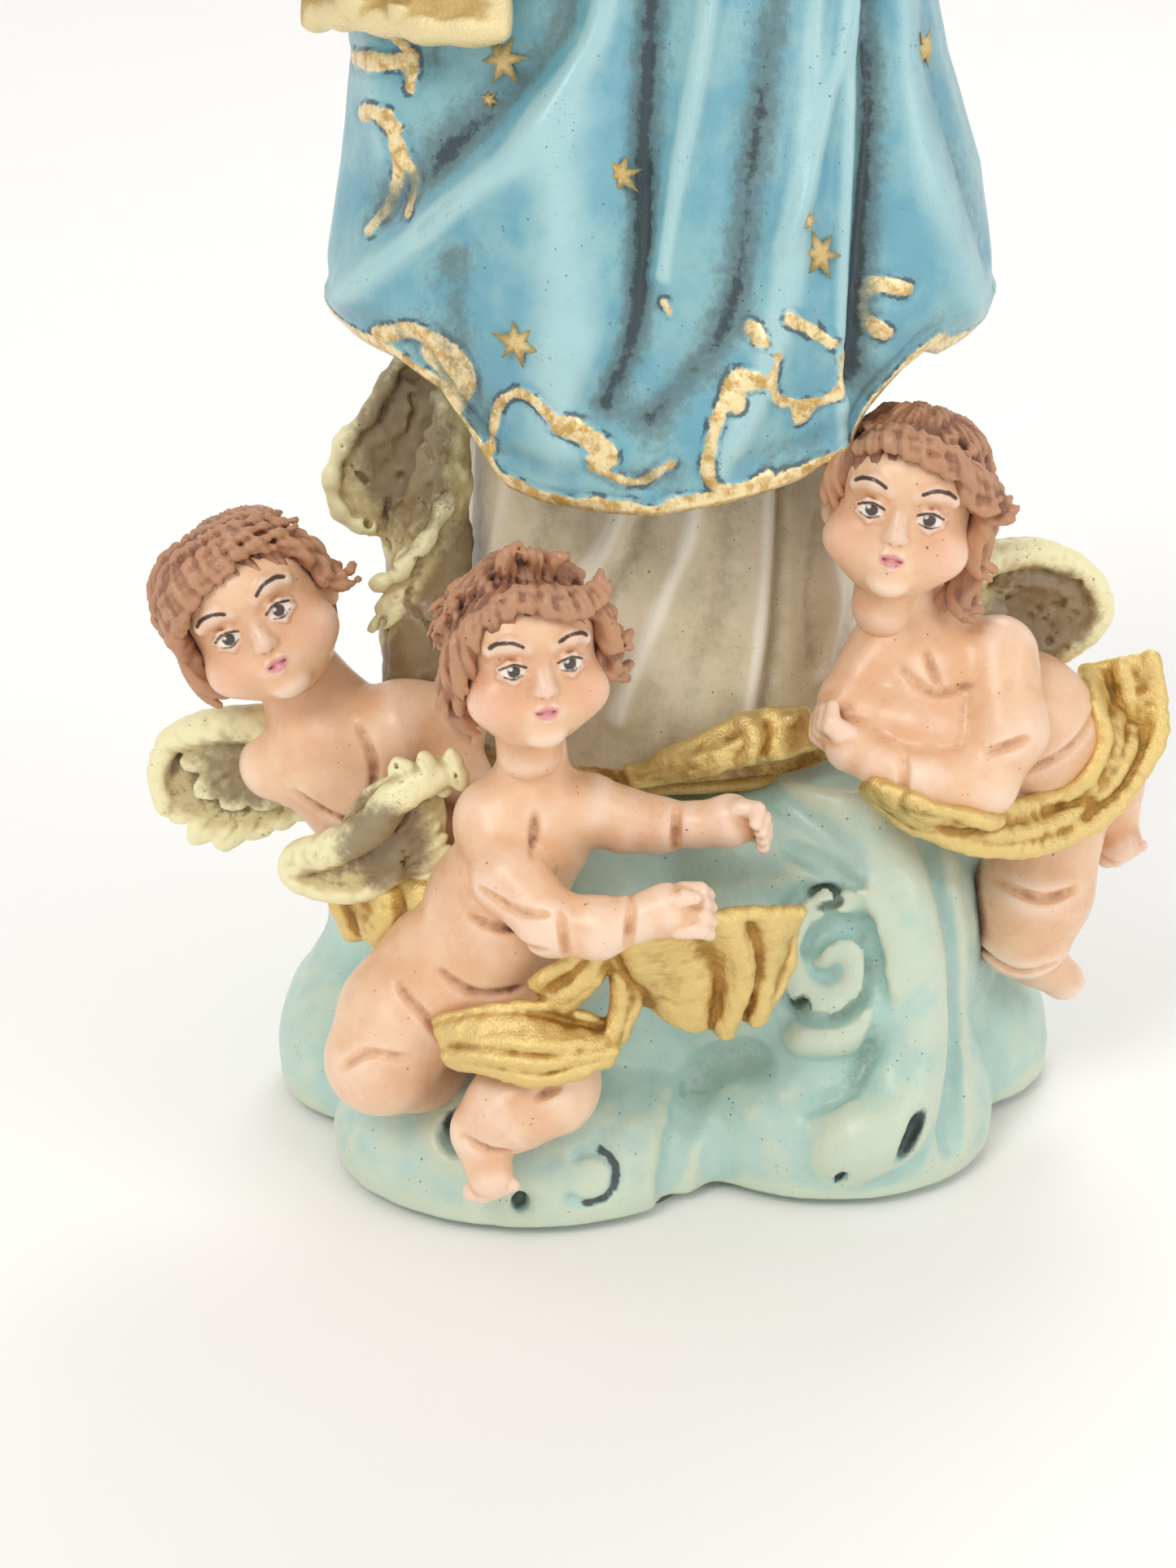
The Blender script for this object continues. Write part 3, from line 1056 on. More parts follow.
def addHand(clay, wrist, palm, point, curl, thumb):
    # palm, four fingers that curl and a thumb
    wrist, palm, point, curl, thumb = [np.array(v, float) for v in (wrist, palm, point, curl, thumb)]
    across = unit(np.cross(unit(point), unit(curl)))
    clay.limb([wrist, palm], [1.55, 1.75], 0.8)
    clay.oval(palm, (1.9, 1.6, 1.9), 0.6)
    for i in range(4):
        start = palm + across * (i - 1.5) * 0.95 + unit(point) * 0.9
        middle = start + unit(point) * (1.7 - 0.2 * abs(i - 1.3))
        tip = middle + unit(curl) * 1.2 + unit(point) * 0.25
        clay.limb([start, middle, tip], [0.68, 0.62, 0.5], 0.16)
    clay.limb([palm + thumb * 0.4, palm + thumb * 1.5 + unit(point) * 0.7,
               palm + thumb * 1.5 + unit(point) * 1.6], [0.8, 0.62, 0.5], 0.25)


def addFoot(clay, heel, ball, up, side):
    heel, ball, up, side = [np.array(v, float) for v in (heel, ball, up, side)]
    clay.limb([heel, ball], [1.9, 1.7], 0.9)
    for i in range(5):
        toe = ball + unit(ball - heel) * (1.3 - 0.18 * abs(i - 1)) + unit(side) * (i - 2) * 0.78
        clay.oval(toe, (0.8 - 0.07 * i,) * 3, 0.12)


# where the heads stand as modelled: only a casting that has moved a whole step shifts its sculpture
anchors = {"front": (-9.2, -24.6, 45.9), "side": (-30.6, -8.0, 42.7), "leaning": (18.7, -14.0, 52.9)}
anchorStep = 4
front, side, lean = [np.round((centreOf(name + "_cherub_head") - spot) / anchorStep) * anchorStep
                     for name, spot in anchors.items()]


def movedBy(origin):
    return lambda points: [origin + np.array(p) for p in points]


def mirrored(side):
    return lambda points: [(side * p[0], p[1], p[2]) for p in points]


def model(clay, origin, steps):
    # each step is a limb along a list of places, or an oval at a single one
    for spots, size, blend in steps:
        if isinstance(spots, list):
            clay.limb([origin + np.array(p) for p in spots], size, blend)
        else:
            clay.oval(origin + spots, size, blend)


def crease(clay, line, size):
    # a shallow fold pressed into the surface, as seen from the front
    marks = [clay.front(spot[0], spot[2], spot[1] - 8) for spot in smoothLine(line, 16)]
    marks = [spot for spot in marks if spot is not None]
    if len(marks) > 3:
        clay.groove(marks, size * np.sin(np.linspace(0.5, 2.7, len(marks))), 0.4)


def buildFrontCherub():
    pose = Pose(front + (-10.1, -25.4, 45.3), (-7, -3, 15), 0.97)
    addHead("front_cherub", "front_cherub_head", pose, {
        "seed": 4, "curl": 0.3, "sweep": 34, "fringe": 43, "fall": 1.05,
        "tufts": [[(-0.5, -1, 5.6), (-1.1, -1.8, 7.4), (-0.2, -2.2, 8.4)],
                  [(0.6, -1, 5.6), (0.9, -2.0, 7.2), (-0.1, -2.8, 8.0)],
                  [(1.6, -1, 5.4), (2.3, -1.8, 6.8), (3.2, -2.4, 7.2)]],
        "locks": [[(-3.6, -4.4, 4.0), (-1.6, -5.6, 5.4), (1.0, -5.9, 5.3), (3.4, -5.2, 4.5)],
                  [(-1.0, -5.4, 5.2), (1.4, -6.0, 4.7), (3.8, -5.0, 4.6), (5.4, -4.2, 5.4)],
                  [(3.6, -4.2, 4.6), (5.4, -3.8, 3.2), (5.8, -3.4, 1.4), (6.9, -3.0, 0.9)],
                  [(4.6, -3.2, 2.6), (5.9, -2.8, 1.0), (5.9, -2.4, -0.8), (6.8, -2.0, -1.6)],
                  [(-3.4, -4.6, 4.6), (-4.9, -4.0, 3.0), (-5.4, -3.6, 1.0), (-5.3, -3.2, -1.2)],
                  [(-4.8, -3.0, 2.8), (-6.0, -2.6, 1.0), (-5.8, -2.2, -1.4), (-6.5, -2.2, -2.6)],
                  [(-5.6, -1.6, 0.8), (-6.2, -1.2, -1.4), (-5.6, -0.8, -3.6), (-4.8, -0.4, -4.9)]]})
    clay = Clay(front + (-28, -35, 2), front + (12, -12, 43), 0.22)
    add = movedBy(front)
    model(clay, front, [
        ([(-9.8, -24, 40.4), (-9.6, -23.6, 36)], [2.3, 2.6], 1.0),
        ((-9.9, -23.4, 31.4), (4.7, 3.8, 4.9), 1.5),
        ([(-12.6, -24.0, 32.8), (-9.6, -23.6, 33.2), (-5.6, -23.8, 33.0)], [2.5, 3.0, 2.3], 1.0),
        ((-12.4, -23.2, 24.6), (5.4, 5.3, 6.1), 2.2),
        ((-14.6, -22.4, 19.4), (6.0, 5.4, 5.0), 2.0),
        ([(-16.0, -21.8, 19.6), (-19.3, -23.2, 16.4), (-20.9, -24.2, 13.6)], [5.2, 4.6, 4.05], 1.3),
        ([(-20.9, -24.0, 13.0), (-17, -19.4, 9.4)], [3.9, 2.9], 1.2),
        ([(-11.4, -22.8, 17.6), (-8.8, -27.2, 13.6)], [4.6, 3.9], 1.4),
        ([(-8.6, -27.7, 12.8), (-11.4, -28.6, 11.6), (-13.4, -28.4, 9.8)], [3.7, 3.2, 2.35], 0.9)])
    addFoot(clay, front + (-13.4, -28.6, 9.0), front + (-12.8, -29.7, 6.6), (0, -1, 0), (1, -0.2, 0.15))
    clay.limb(add([(-12.6, -24.4, 32.0), (-11.2, -27.6, 29.4), (-8.2, -30.6, 27.3)]), [2.6, 2.55, 2.3], 0.9)
    clay.limb(add([(-8.2, -30.6, 27.2), (-5.0, -31.2, 27.2), (-2.0, -31.0, 27.9)]), [2.25, 2.15, 1.5], 0.7)
    addHand(clay, front + (-2.2, -31.0, 27.9), front + (-0.2, -30.9, 28.4), (1, -0.1, 0.05),
            (0.35, 0.7, -0.6), np.array((0.2, -0.6, 0.9)))
    clay.limb(add([(-5.6, -23.8, 33.2), (-3.0, -23.4, 32.0), (-0.8, -23.2, 31.6)]), [2.4, 2.2, 2.0], 0.9)
    clay.limb(add([(-0.8, -23.2, 31.6), (2.6, -23.8, 31.9)]), [1.95, 1.45], 0.7)
    addHand(clay, front + (2.2, -23.8, 31.9), front + (4.4, -24.3, 32.4), (1, -0.35, 0.1),
            (-0.3, -0.7, -0.5), np.array((0.1, -0.5, 0.9)))
    for line, size in (([(-16.4, -28.0, 22.0), (-13.6, -28.6, 20.4), (-10.4, -28.2, 20.6)], 0.26),
                       ([(-19.4, -26.6, 20.6), (-16.6, -28.2, 17.4), (-15.4, -28.4, 14.6)], 0.26),
                       ([(-9.4, -28.0, 34.0), (-9.6, -28.2, 31.4)], 0.18),
                       ([(-13.2, -27, 29.4), (-10.8, -27.8, 28.6), (-8.4, -27.4, 28.8)], 0.18),
                       ([(-14.8, -30.8, 10.2), (-12.6, -31.2, 9.4), (-11.4, -30.8, 9.4)], 0.22),
                       ([(-9.4, -31.8, 13.8), (-7.8, -31.8, 14.6)], 0.2),
                       ([(-2.9, -33, 26.2), (-2.7, -33, 29.6)], 0.2),
                       ([(-7.6, -33, 28.9), (-7.2, -33, 25.6)], 0.16),
                       ([(-23.6, -27, 14.2), (-21.6, -28, 15.6), (-18.8, -28, 15.4)], 0.2),
                       ([(0.6, -26, 33.2), (0.5, -26, 30.2)], 0.18),
                       ([(-14.0, -28, 26.6), (-11.6, -28, 25.8), (-8.6, -28, 26.2)], 0.2)):
        crease(clay, add(line), size)
    clay.ball(front + (-13.4, -28.7, 23.6), 0.32, 0.25, True)
    clay.ball(front + (5.9, -26.4, 32.9), 0.5, 0.15, True)
    clay.take(cloudClay, -0.7)
    clayPiece("front_cherub_flesh", clay,
              ["front_cherub_body", "front_cherub_arm_right", "front_cherub_arm_left"], skinPaint)
    wing = Clay(front + (-31, -26, 19), front + (-9, -12, 41), 0.18)
    wing.oval(front + (-20.0, -19.8, 29.6), (3.6, 1.4, 5.2), 0.8, turnTo(angleY=35, angleZ=-12))
    wing.oval(front + (-22.6, -19.2, 27.0), (3.2, 1.3, 2.6), 0.8)
    arc = smoothLine(add([(-16.4, -21.6, 35.0), (-19.4, -22.2, 33.4), (-21.4, -21.8, 30.8),
                          (-24.4, -20.4, 28.6), (-26.8, -18.9, 27.2), (-27.2, -18.4, 25.6),
                          (-25.0, -18.9, 24.8), (-22.0, -19.8, 25.0), (-19.8, -20.6, 26.6)]), 30)
    wing.limb(arc, np.interp(np.linspace(0, 1, 30), [0, 0.25, 0.6, 0.8, 1], [1.2, 1.35, 1.2, 1.0, 0.55]),
              0.35)
    for k in range(7):
        t = k / 6
        root = front + np.array((-17.4 + 0.5 * k, -21.2, 33.0 - 1.0 * k))
        feather(wing, root, root + (-3.4 - 0.6 * math.sin(3 * t), 0.9, -4.2 + 0.5 * k), 0.85, (-0.3, -1, 0))
    for k in range(9):
        root = front + np.array((-14.6 - 0.55 * k, -21.6 + 0.2 * (k % 3), 33.6 + 0.6 * math.sin(k * 2.1)))
        feather(wing, root, root + (-0.9 + 0.5 * math.sin(k * 1.7), -0.7, 2.6 + 0.7 * math.sin(k * 2.6)),
                0.8, (0, -1, 0.2))
    crinkle(wing, 20, 0.22)
    clayPiece("front_cherub_feathers", wing, ["front_cherub_wing"], wingPaint,
              lambda q: {"stain": insideOf(q, (front + (-20.4, -20, 29.4))[[0, 2]], 3.2, 3.8)})


def clothPatch(clay, rows, folds=5, wave=0.55, thick=0.72, columns=26, steps=14, phase=0.0):
    # a sheet between rows of points, with folds that run from the first row to the last
    across = np.array([smoothLine(row, columns) for row in rows])
    grid = np.array([smoothLine(across[:, c], steps) for c in range(columns)])
    away = np.cross(np.gradient(grid, axis=0), np.gradient(grid, axis=1))
    away /= np.linalg.norm(away, axis=-1, keepdims=True) + 1e-6
    away *= np.where(away[..., 1:2] > 0, -1, 1)
    v = np.linspace(0, 1, columns)[:, None]
    u = np.linspace(0, 1, steps)[None, :]
    spread = v + 0.07 * np.sin(7.3 * v + phase + 1.4 * u) + 0.04 * np.sin(u * 5 + 4 * v)
    lift = wave * np.cos(2 * math.pi * folds * spread + phase) * (0.6 + 0.4 * u) * (0.7 + 0.5
            * np.sin(11 * v + 2 * phase))
    lift = lift + 0.25 * wave * np.sin(5 * u + 9 * v)
    grid = grid + away * lift[..., None]
    for c in range(columns):
        clay.limb(grid[c], thick, 0.25)
    return grid


def crinkle(clay, seed, amount=0.24):
    noise = np.random.default_rng(seed).normal(0, 1, clay.count).astype(np.float32)
    clay.field += amount * blurred(noise, 1) + 3.0 * amount * blurred(noise, 3)


def buildDrapes(body):
    add = movedBy(front)
    clay = Clay(front + (-26, -35, 8), front + (14, -12, 34), 0.19)
    # over the lap
    lap = [add(edge) for edge in ([(-16.4, -27.9, 18.2), (-13.0, -29.2, 19.8), (-9.4, -29.8, 20.4),
                                   (-6.6, -29.2, 19.4), (-4.4, -28.4, 18.0)],
                                  [(-16.0, -29.6, 17.2), (-12.8, -31.0, 18.2), (-9.2, -31.6, 18.2),
                                   (-6.4, -30.8, 17.7), (-4.0, -29.6, 17.2)],
                                  [(-15.4, -30.0, 16.2), (-12.8, -31.6, 16.4), (-9.2, -32.2, 15.8),
                                   (-6.6, -31.6, 16.2), (-4.4, -30.4, 16.4)])]
    clothPatch(clay, [list(spot) for spot in zip(*lap)], 2.6, 0.55, 0.42, 24, 40, 0.4)
    clay.limb(smoothLine(lap[2], 18), 0.5 + 0.12 * np.sin(np.arange(18) * 1.1), 0.3)
    # up to the hand, with the gap that shows behind it
    clothPatch(clay, [add([(-9.4, -28.8, 21.8), (-7.4, -29.6, 20.2)]),
                      add([(-6.8, -29.4, 24.0), (-5.4, -29.6, 22.4)]),
                      add([(-4.8, -29.6, 26.6), (-3.4, -29.6, 25.8)])], 1.5, 0.35, 0.62, 9)
    clothPatch(clay, [add([(-4.6, -29.6, 16.9), (-3.2, -28.2, 17.6)]),
                      add([(-3.6, -28.8, 20.2), (-2.2, -28.0, 20.8)]),
                      add([(-3.8, -29.8, 25.4), (-1.6, -29.4, 25.6)])], 1.5, 0.3, 0.6, 9)
    # hanging from the hand
    clothPatch(clay, [add([(-4.6, -30.4, 27.8), (-1.2, -30.9, 26.8), (2.4, -30.4, 27.4), (6.0, -28.8, 27.0),
                           (9.2, -27.2, 26.4)]),
                      add([(-3.6, -29.6, 23.4), (-0.6, -29.0, 22.0), (3.2, -28.6, 22.0), (6.6, -27.6, 22.4),
                           (9.0, -26.2, 23.4)]),
                      add([(-2.9, -28.4, 20.0), (0.4, -27.8, 18.6), (3.6, -27.4, 17.6), (6.6, -27.0, 18.2),
                           (8.6, -25.8, 21.0)])],
               3.4, 0.85, 0.5, 40, 16, 0.6)
    clay.limb(smoothLine(add([(-4.6, -30.8, 28.0), (-0.6, -31.2, 27.2), (4.4, -29.8, 27.6),
                              (9.4, -27.2, 26.6)]), 18), 0.5, 0.3)
    crinkle(clay, 3)
    clayPiece("front_cherub_cloth", clay, ["front_cherub_drape"], goldPaint)
    sash = Clay(front + (-28, -27, 16), front + (-13, -14, 30), 0.19)
    clothPatch(sash, [add([(-24.4, -17.0, 25.4), (-21.0, -19.2, 25.6), (-16.2, -21.2, 25.2)]),
                      add([(-24.2, -17.4, 23.0), (-21.0, -19.8, 23.0), (-16.2, -22.0, 22.6)]),
                      add([(-23.4, -17.4, 20.6), (-20.6, -19.6, 21.0), (-16.4, -21.8, 20.4)])], 2.4, 0.5,
                      0.75)
    crinkle(sash, 4)
    clayPiece("front_cherub_tail", sash, ["front_cherub_sash"], goldPaint)
    clay = Clay(lean + (10, -24, 22), lean + (40, 0, 46), 0.19)
    on = movedBy(lean)
    spine = smoothLine(on([(14.8, -20.0, 33.6), (18.2, -20.8, 31.8), (22.4, -19.9, 30.0),
                           (26.4, -17.6, 29.0), (30.4, -14.4, 29.2), (33.4, -11.6, 31.2),
                           (35.2, -9.0, 34.2), (34.6, -7.4, 38.2)]), 46)
    span = np.cross(np.gradient(spine, axis=0), (-0.25, -1.0, 0.35))
    span /= np.linalg.norm(span, axis=1, keepdims=True)
    half = np.interp(np.linspace(0, 1, 46), [0, 0.12, 0.4, 0.62, 0.85, 1],
                     [0.5, 1.2, 1.7, 1.9, 2.5, 2.7])[:, None]
    t = np.linspace(0, 1, 46)[:, None]

    def onBody(line, lift=0.45):
        # brought forward to lie on the body
        line = line.copy()
        for spot in line:
            hit = body.front(spot[0], spot[2], -30)
            if hit is not None:
                spot[1] = min(spot[1], hit[1] - lift)
        return line
    rows = [onBody(spine + span * half * k) for k in (-1.0, -0.5, 0, 0.5, 1.0)]
    clothPatch(clay, [[row[i] for row in rows] for i in range(46)], 1.6, 0.3, 0.5, 20, 60, 0.9)
    for shift, size in ((-0.95, 0.5), (-0.3, 0.36), (0.35, 0.42), (0.95, 0.55)):
        line = onBody(spine + span * half * shift + 0.3 * np.sin(7 * t + 3 * shift) * span, 0.7)
        clay.limb(line, size + 0.14 * np.sin(np.arange(46) * 0.7 + shift), 0.3)
    for k in range(7):
        i = 14 + 4 * k
        j = min(i + 4, 45)
        cross = onBody(smoothLine([spine[i] - span[i] * half[i] * 0.9, spine[i + 1],
                                   spine[j] + span[j] * half[j] * 0.95], 8), 0.65)
        clay.limb(cross, 0.36, 0.35)
    crinkle(clay, 5)
    clayPiece("leaning_cherub_cloth", clay, ["leaning_cherub_drape"], goldPaint)


plume = {"thick": 0.62, "blend": 0.12, "barbs": 1.1}


def feather(clay, root, tip, wide, facing=(0, -1, 0)):
    # one flat blade with a shaft and barbs, which stand a set gap apart
    root, tip = np.array(root, float), np.array(tip, float)
    thick, gap = plume["thick"], plume["barbs"]
    along, long = unit(tip - root), np.linalg.norm(tip - root)
    side = unit(np.cross(along, facing))
    out = np.cross(side, along)
    out = out * (-1 if out @ np.array(facing, float) < 0 else 1)
    clay.oval((root + tip) / 2, (long / 2, thick, wide), plume["blend"],
              np.column_stack([along, out, side]))
    clay.groove([root + along * long * 0.2 + out * thick * 1.15, tip - along * 0.4 + out * thick * 0.55],
                0.1, 0.12)
    for k in range(3, int(long / gap)):
        start = root + along * k * gap + out * thick * 1.05
        for way in (-1, 1):
            clay.groove([start, start + along * 0.9 + side * way * wide * 0.75 - out * thick * 0.35], 0.075,
                        0.1)


def buildSideCherub():
    pose = Pose(side + (-29.9, -8.8, 44.2), (-8, -29, 8), 1.03)
    addHead("side_cherub", "side_cherub_head", pose, {
        "seed": 9, "curl": 0.1, "sweep": 52, "fringe": 45, "fall": 1.0,
        "locks": [[(-5.7, -2.4, 1.6), (-5.0, -4.2, 4.0), (-1.6, -5.4, 5.7), (2.6, -4.8, 5.6),
                   (5.2, -3.2, 4.2)],
                  [(-6.2, -1.4, 1.4), (-5.4, -3.0, 4.6), (-1.8, -4.2, 6.4), (2.8, -3.6, 6.2),
                   (5.6, -2.0, 4.4)],
                  [(-6.4, 0, 2.4), (-4.8, -1.6, 5.8), (-0.6, -2.4, 7.1), (4.2, -1.6, 5.9)],
                  [(-5.8, -2.8, 0.4), (-5.2, -4.4, 2.8), (-3.0, -5.4, 4.6), (0.6, -5.7, 5.2)],
                  [(4.4, -3.8, 4.4), (5.8, -2.8, 2.6), (6.2, -1.8, 0.2), (7.2, -1.0, -0.8)],
                  [(-5.6, -2.6, 0.9), (-5.9, -2.6, -1.4), (-5.3, -2.2, -3.6)]]})
    clay = Clay(side + (-38, -17, 18), side + (-9, 3, 44), 0.21)
    at = movedBy(side)
    model(clay, side, [
        ([(-28, -7.6, 40.2), (-25.4, -8, 35.6)], [3.0, 4.0], 1.4),
        ([(-24.8, -8.0, 32.8), (-20.4, -8.4, 29.0), (-16, -8.6, 25.8)], [5.2, 5.6, 5.2], 1.8),
        ([(-29.2, -8.4, 32.0), (-24.6, -9.2, 33.0), (-19.4, -9.6, 35.2), (-15.8, -9.4, 36.0)],
         [2.7, 3.6, 3.6, 2.8], 1.2),
        ([(-16.4, -10.4, 34.8), (-14.6, -12.2, 32.0)], [2.4, 2.1], 0.9)])
    crease(clay, at([(-22.4, -14, 36.6), (-21.4, -14, 34.0), (-21.6, -14, 31.4)]), 0.22)
    crease(clay, at([(-27.4, -14, 31.4), (-24.6, -14, 29.8), (-21.8, -14, 29.4)]), 0.2)
    clay.take(cloudClay, -0.7)
    clayPiece("side_cherub_flesh", clay, ["side_cherub_bust"], skinPaint)
    wing = Clay(side + (-41, -13, 19), side + (-18, 1, 38), 0.18)
    for n, (x, z) in enumerate(((-38.0, 28.6), (-37.8, 26.2), (-36.4, 24.4), (-34.2, 23.9), (-31.8, 24.8),
                                (-29.8, 25.8), (-27.6, 26.6))):
        feather(wing, side + (-28.6 + 0.3 * n, -6.6, 34.6 - 0.5 * n), side + (x, -5.4 - 0.2 * n, z), 1.75,
                (0.1, -1, 0.15))
    for n, (x, z) in enumerate(((-36.6, 31.2), (-35.6, 28.8), (-33.6, 27.8), (-31.2, 27.8), (-29.0, 28.2))):
        feather(wing, side + (-28.4 + 0.4 * n, -7.4, 34.8 - 0.6 * n), side + (x, -6.6 - 0.2 * n, z), 1.6,
                (0.1, -1, 0.15))
    wing.oval(side + (-32.6, -5.6, 30.6), (5.6, 1.0, 4.8), 0.5, turnTo(angleY=-15, angleZ=-6))
    wing.limb(smoothLine(at([(-37.4, -6.0, 33.0), (-34, -7.2, 34.6), (-29.0, -7.8, 35.0)]), 12),
              np.linspace(0.9, 1.5, 12), 0.5)
    wing.limb(smoothLine(at([(-37.4, -6.0, 33.0), (-38.4, -5.6, 30.4), (-38.2, -5.4, 27.4)]), 10), 0.8, 0.4)
    crinkle(wing, 21, 0.22)
    clayPiece("side_cherub_low_feathers", wing, ["side_cherub_wing_low"], wingPaint,
              lambda q: {"stain": 0.75 * insideOf(q, (side + (-31.4, -6, 31.0))[[0, 2]], 4.6, 3.4)})
    wing = Clay(side + (-30, -7, 34), side + (-13, 6, 65), 0.2)
    wing.oval(side + (-18.0, 0.2, 56.4), (3.6, 1.4, 6.0), 0.8, turnTo(angleY=14))
    wing.oval(side + (-20.6, -0.2, 52.6), (3.5, 1.4, 4.4), 0.9, turnTo(angleY=24))
    wing.oval(side + (-22.4, -0.4, 50.2), (2.4, 1.2, 2.4), 0.7)
    wing.oval(side + (-18.6, -0.8, 48.0), (2.6, 1.6, 4.4), 0.9)
    wing.limb(at([(-16.8, -0.8, 58), (-17.0, -1.2, 52), (-17.6, -1.6, 47), (-17.8, -2.4, 41),
                  (-17.9, -4.2, 35)]), [2.2, 2.4, 3.0, 3.5, 3.4], 1.2)
    for spot, size, lean in (((-18.2, -1.6, 56.4), (2.4, 0.9, 4.2), 14),
                             ((-20.8, -1.8, 52.4), (2.3, 0.9, 2.6), 24)):
        wing.oval(side + spot, size, 0.7, turnTo(angleY=lean), True)
    rim = smoothLine(at([(-17.0, -0.6, 62.0), (-18.8, -0.8, 61.9), (-20.6, -0.9, 59.4), (-22.0, -1.0, 57.0),
                         (-24.2, -1.1, 54.4), (-24.9, -1.2, 51.4), (-23.6, -1.2, 48.9),
                         (-21.4, -1.4, 48.4)]), 30)
    wing.limb(rim, 0.62 + 0.16 * np.sin(np.arange(30) * 1.7), 0.35)
    for k in range(6):
        feather(wing, side + (-16.4 - 0.35 * k, -3.4 - 0.3 * k, 52.6 - 1.7 * k),
                side + (-18.8 - 0.7 * k, -4.0 - 0.3 * k, 49.0 - 1.5 * k), 0.8)
    edge = smoothLine(at([(-16.0, -4.6, 51.6), (-17.6, -5.4, 48.8), (-19.6, -5.6, 46.4),
                          (-21.4, -5.2, 45.2)]), 16)
    wing.limb(edge, 0.55 + 0.15 * np.sin(np.arange(16) * 1.4), 0.3)
    rng = np.random.default_rng(8)
    for k in range(34):
        x, z, lean = rng.uniform(-24, -17), rng.uniform(38, 60), rng.uniform(-1, 1)
        a, b = wing.front(side[0] + x, side[2] + z, -12), wing.front(side[0] + x + 1.3 * lean,
                side[2] + z + 1.2, -12)
        if a is not None and b is not None:
            wing.groove([a, b], rng.uniform(0.14, 0.3), 0.2)
    crinkle(wing, 22, 0.3)
    clayPiece("side_cherub_high_feathers", wing, ["side_cherub_wing_high"], wingPaint,
              lambda q: {"stain": np.maximum(insideOf(q, (side + (-19.4, 0, 55))[[0, 2]], 3.8, 6.4),
                                             1.1 * np.clip((47 - q[:, 2] + side[2] + 1.5
                                                            * (q[:, 0] - side[0] + 18)) / 4, 0, 1))})


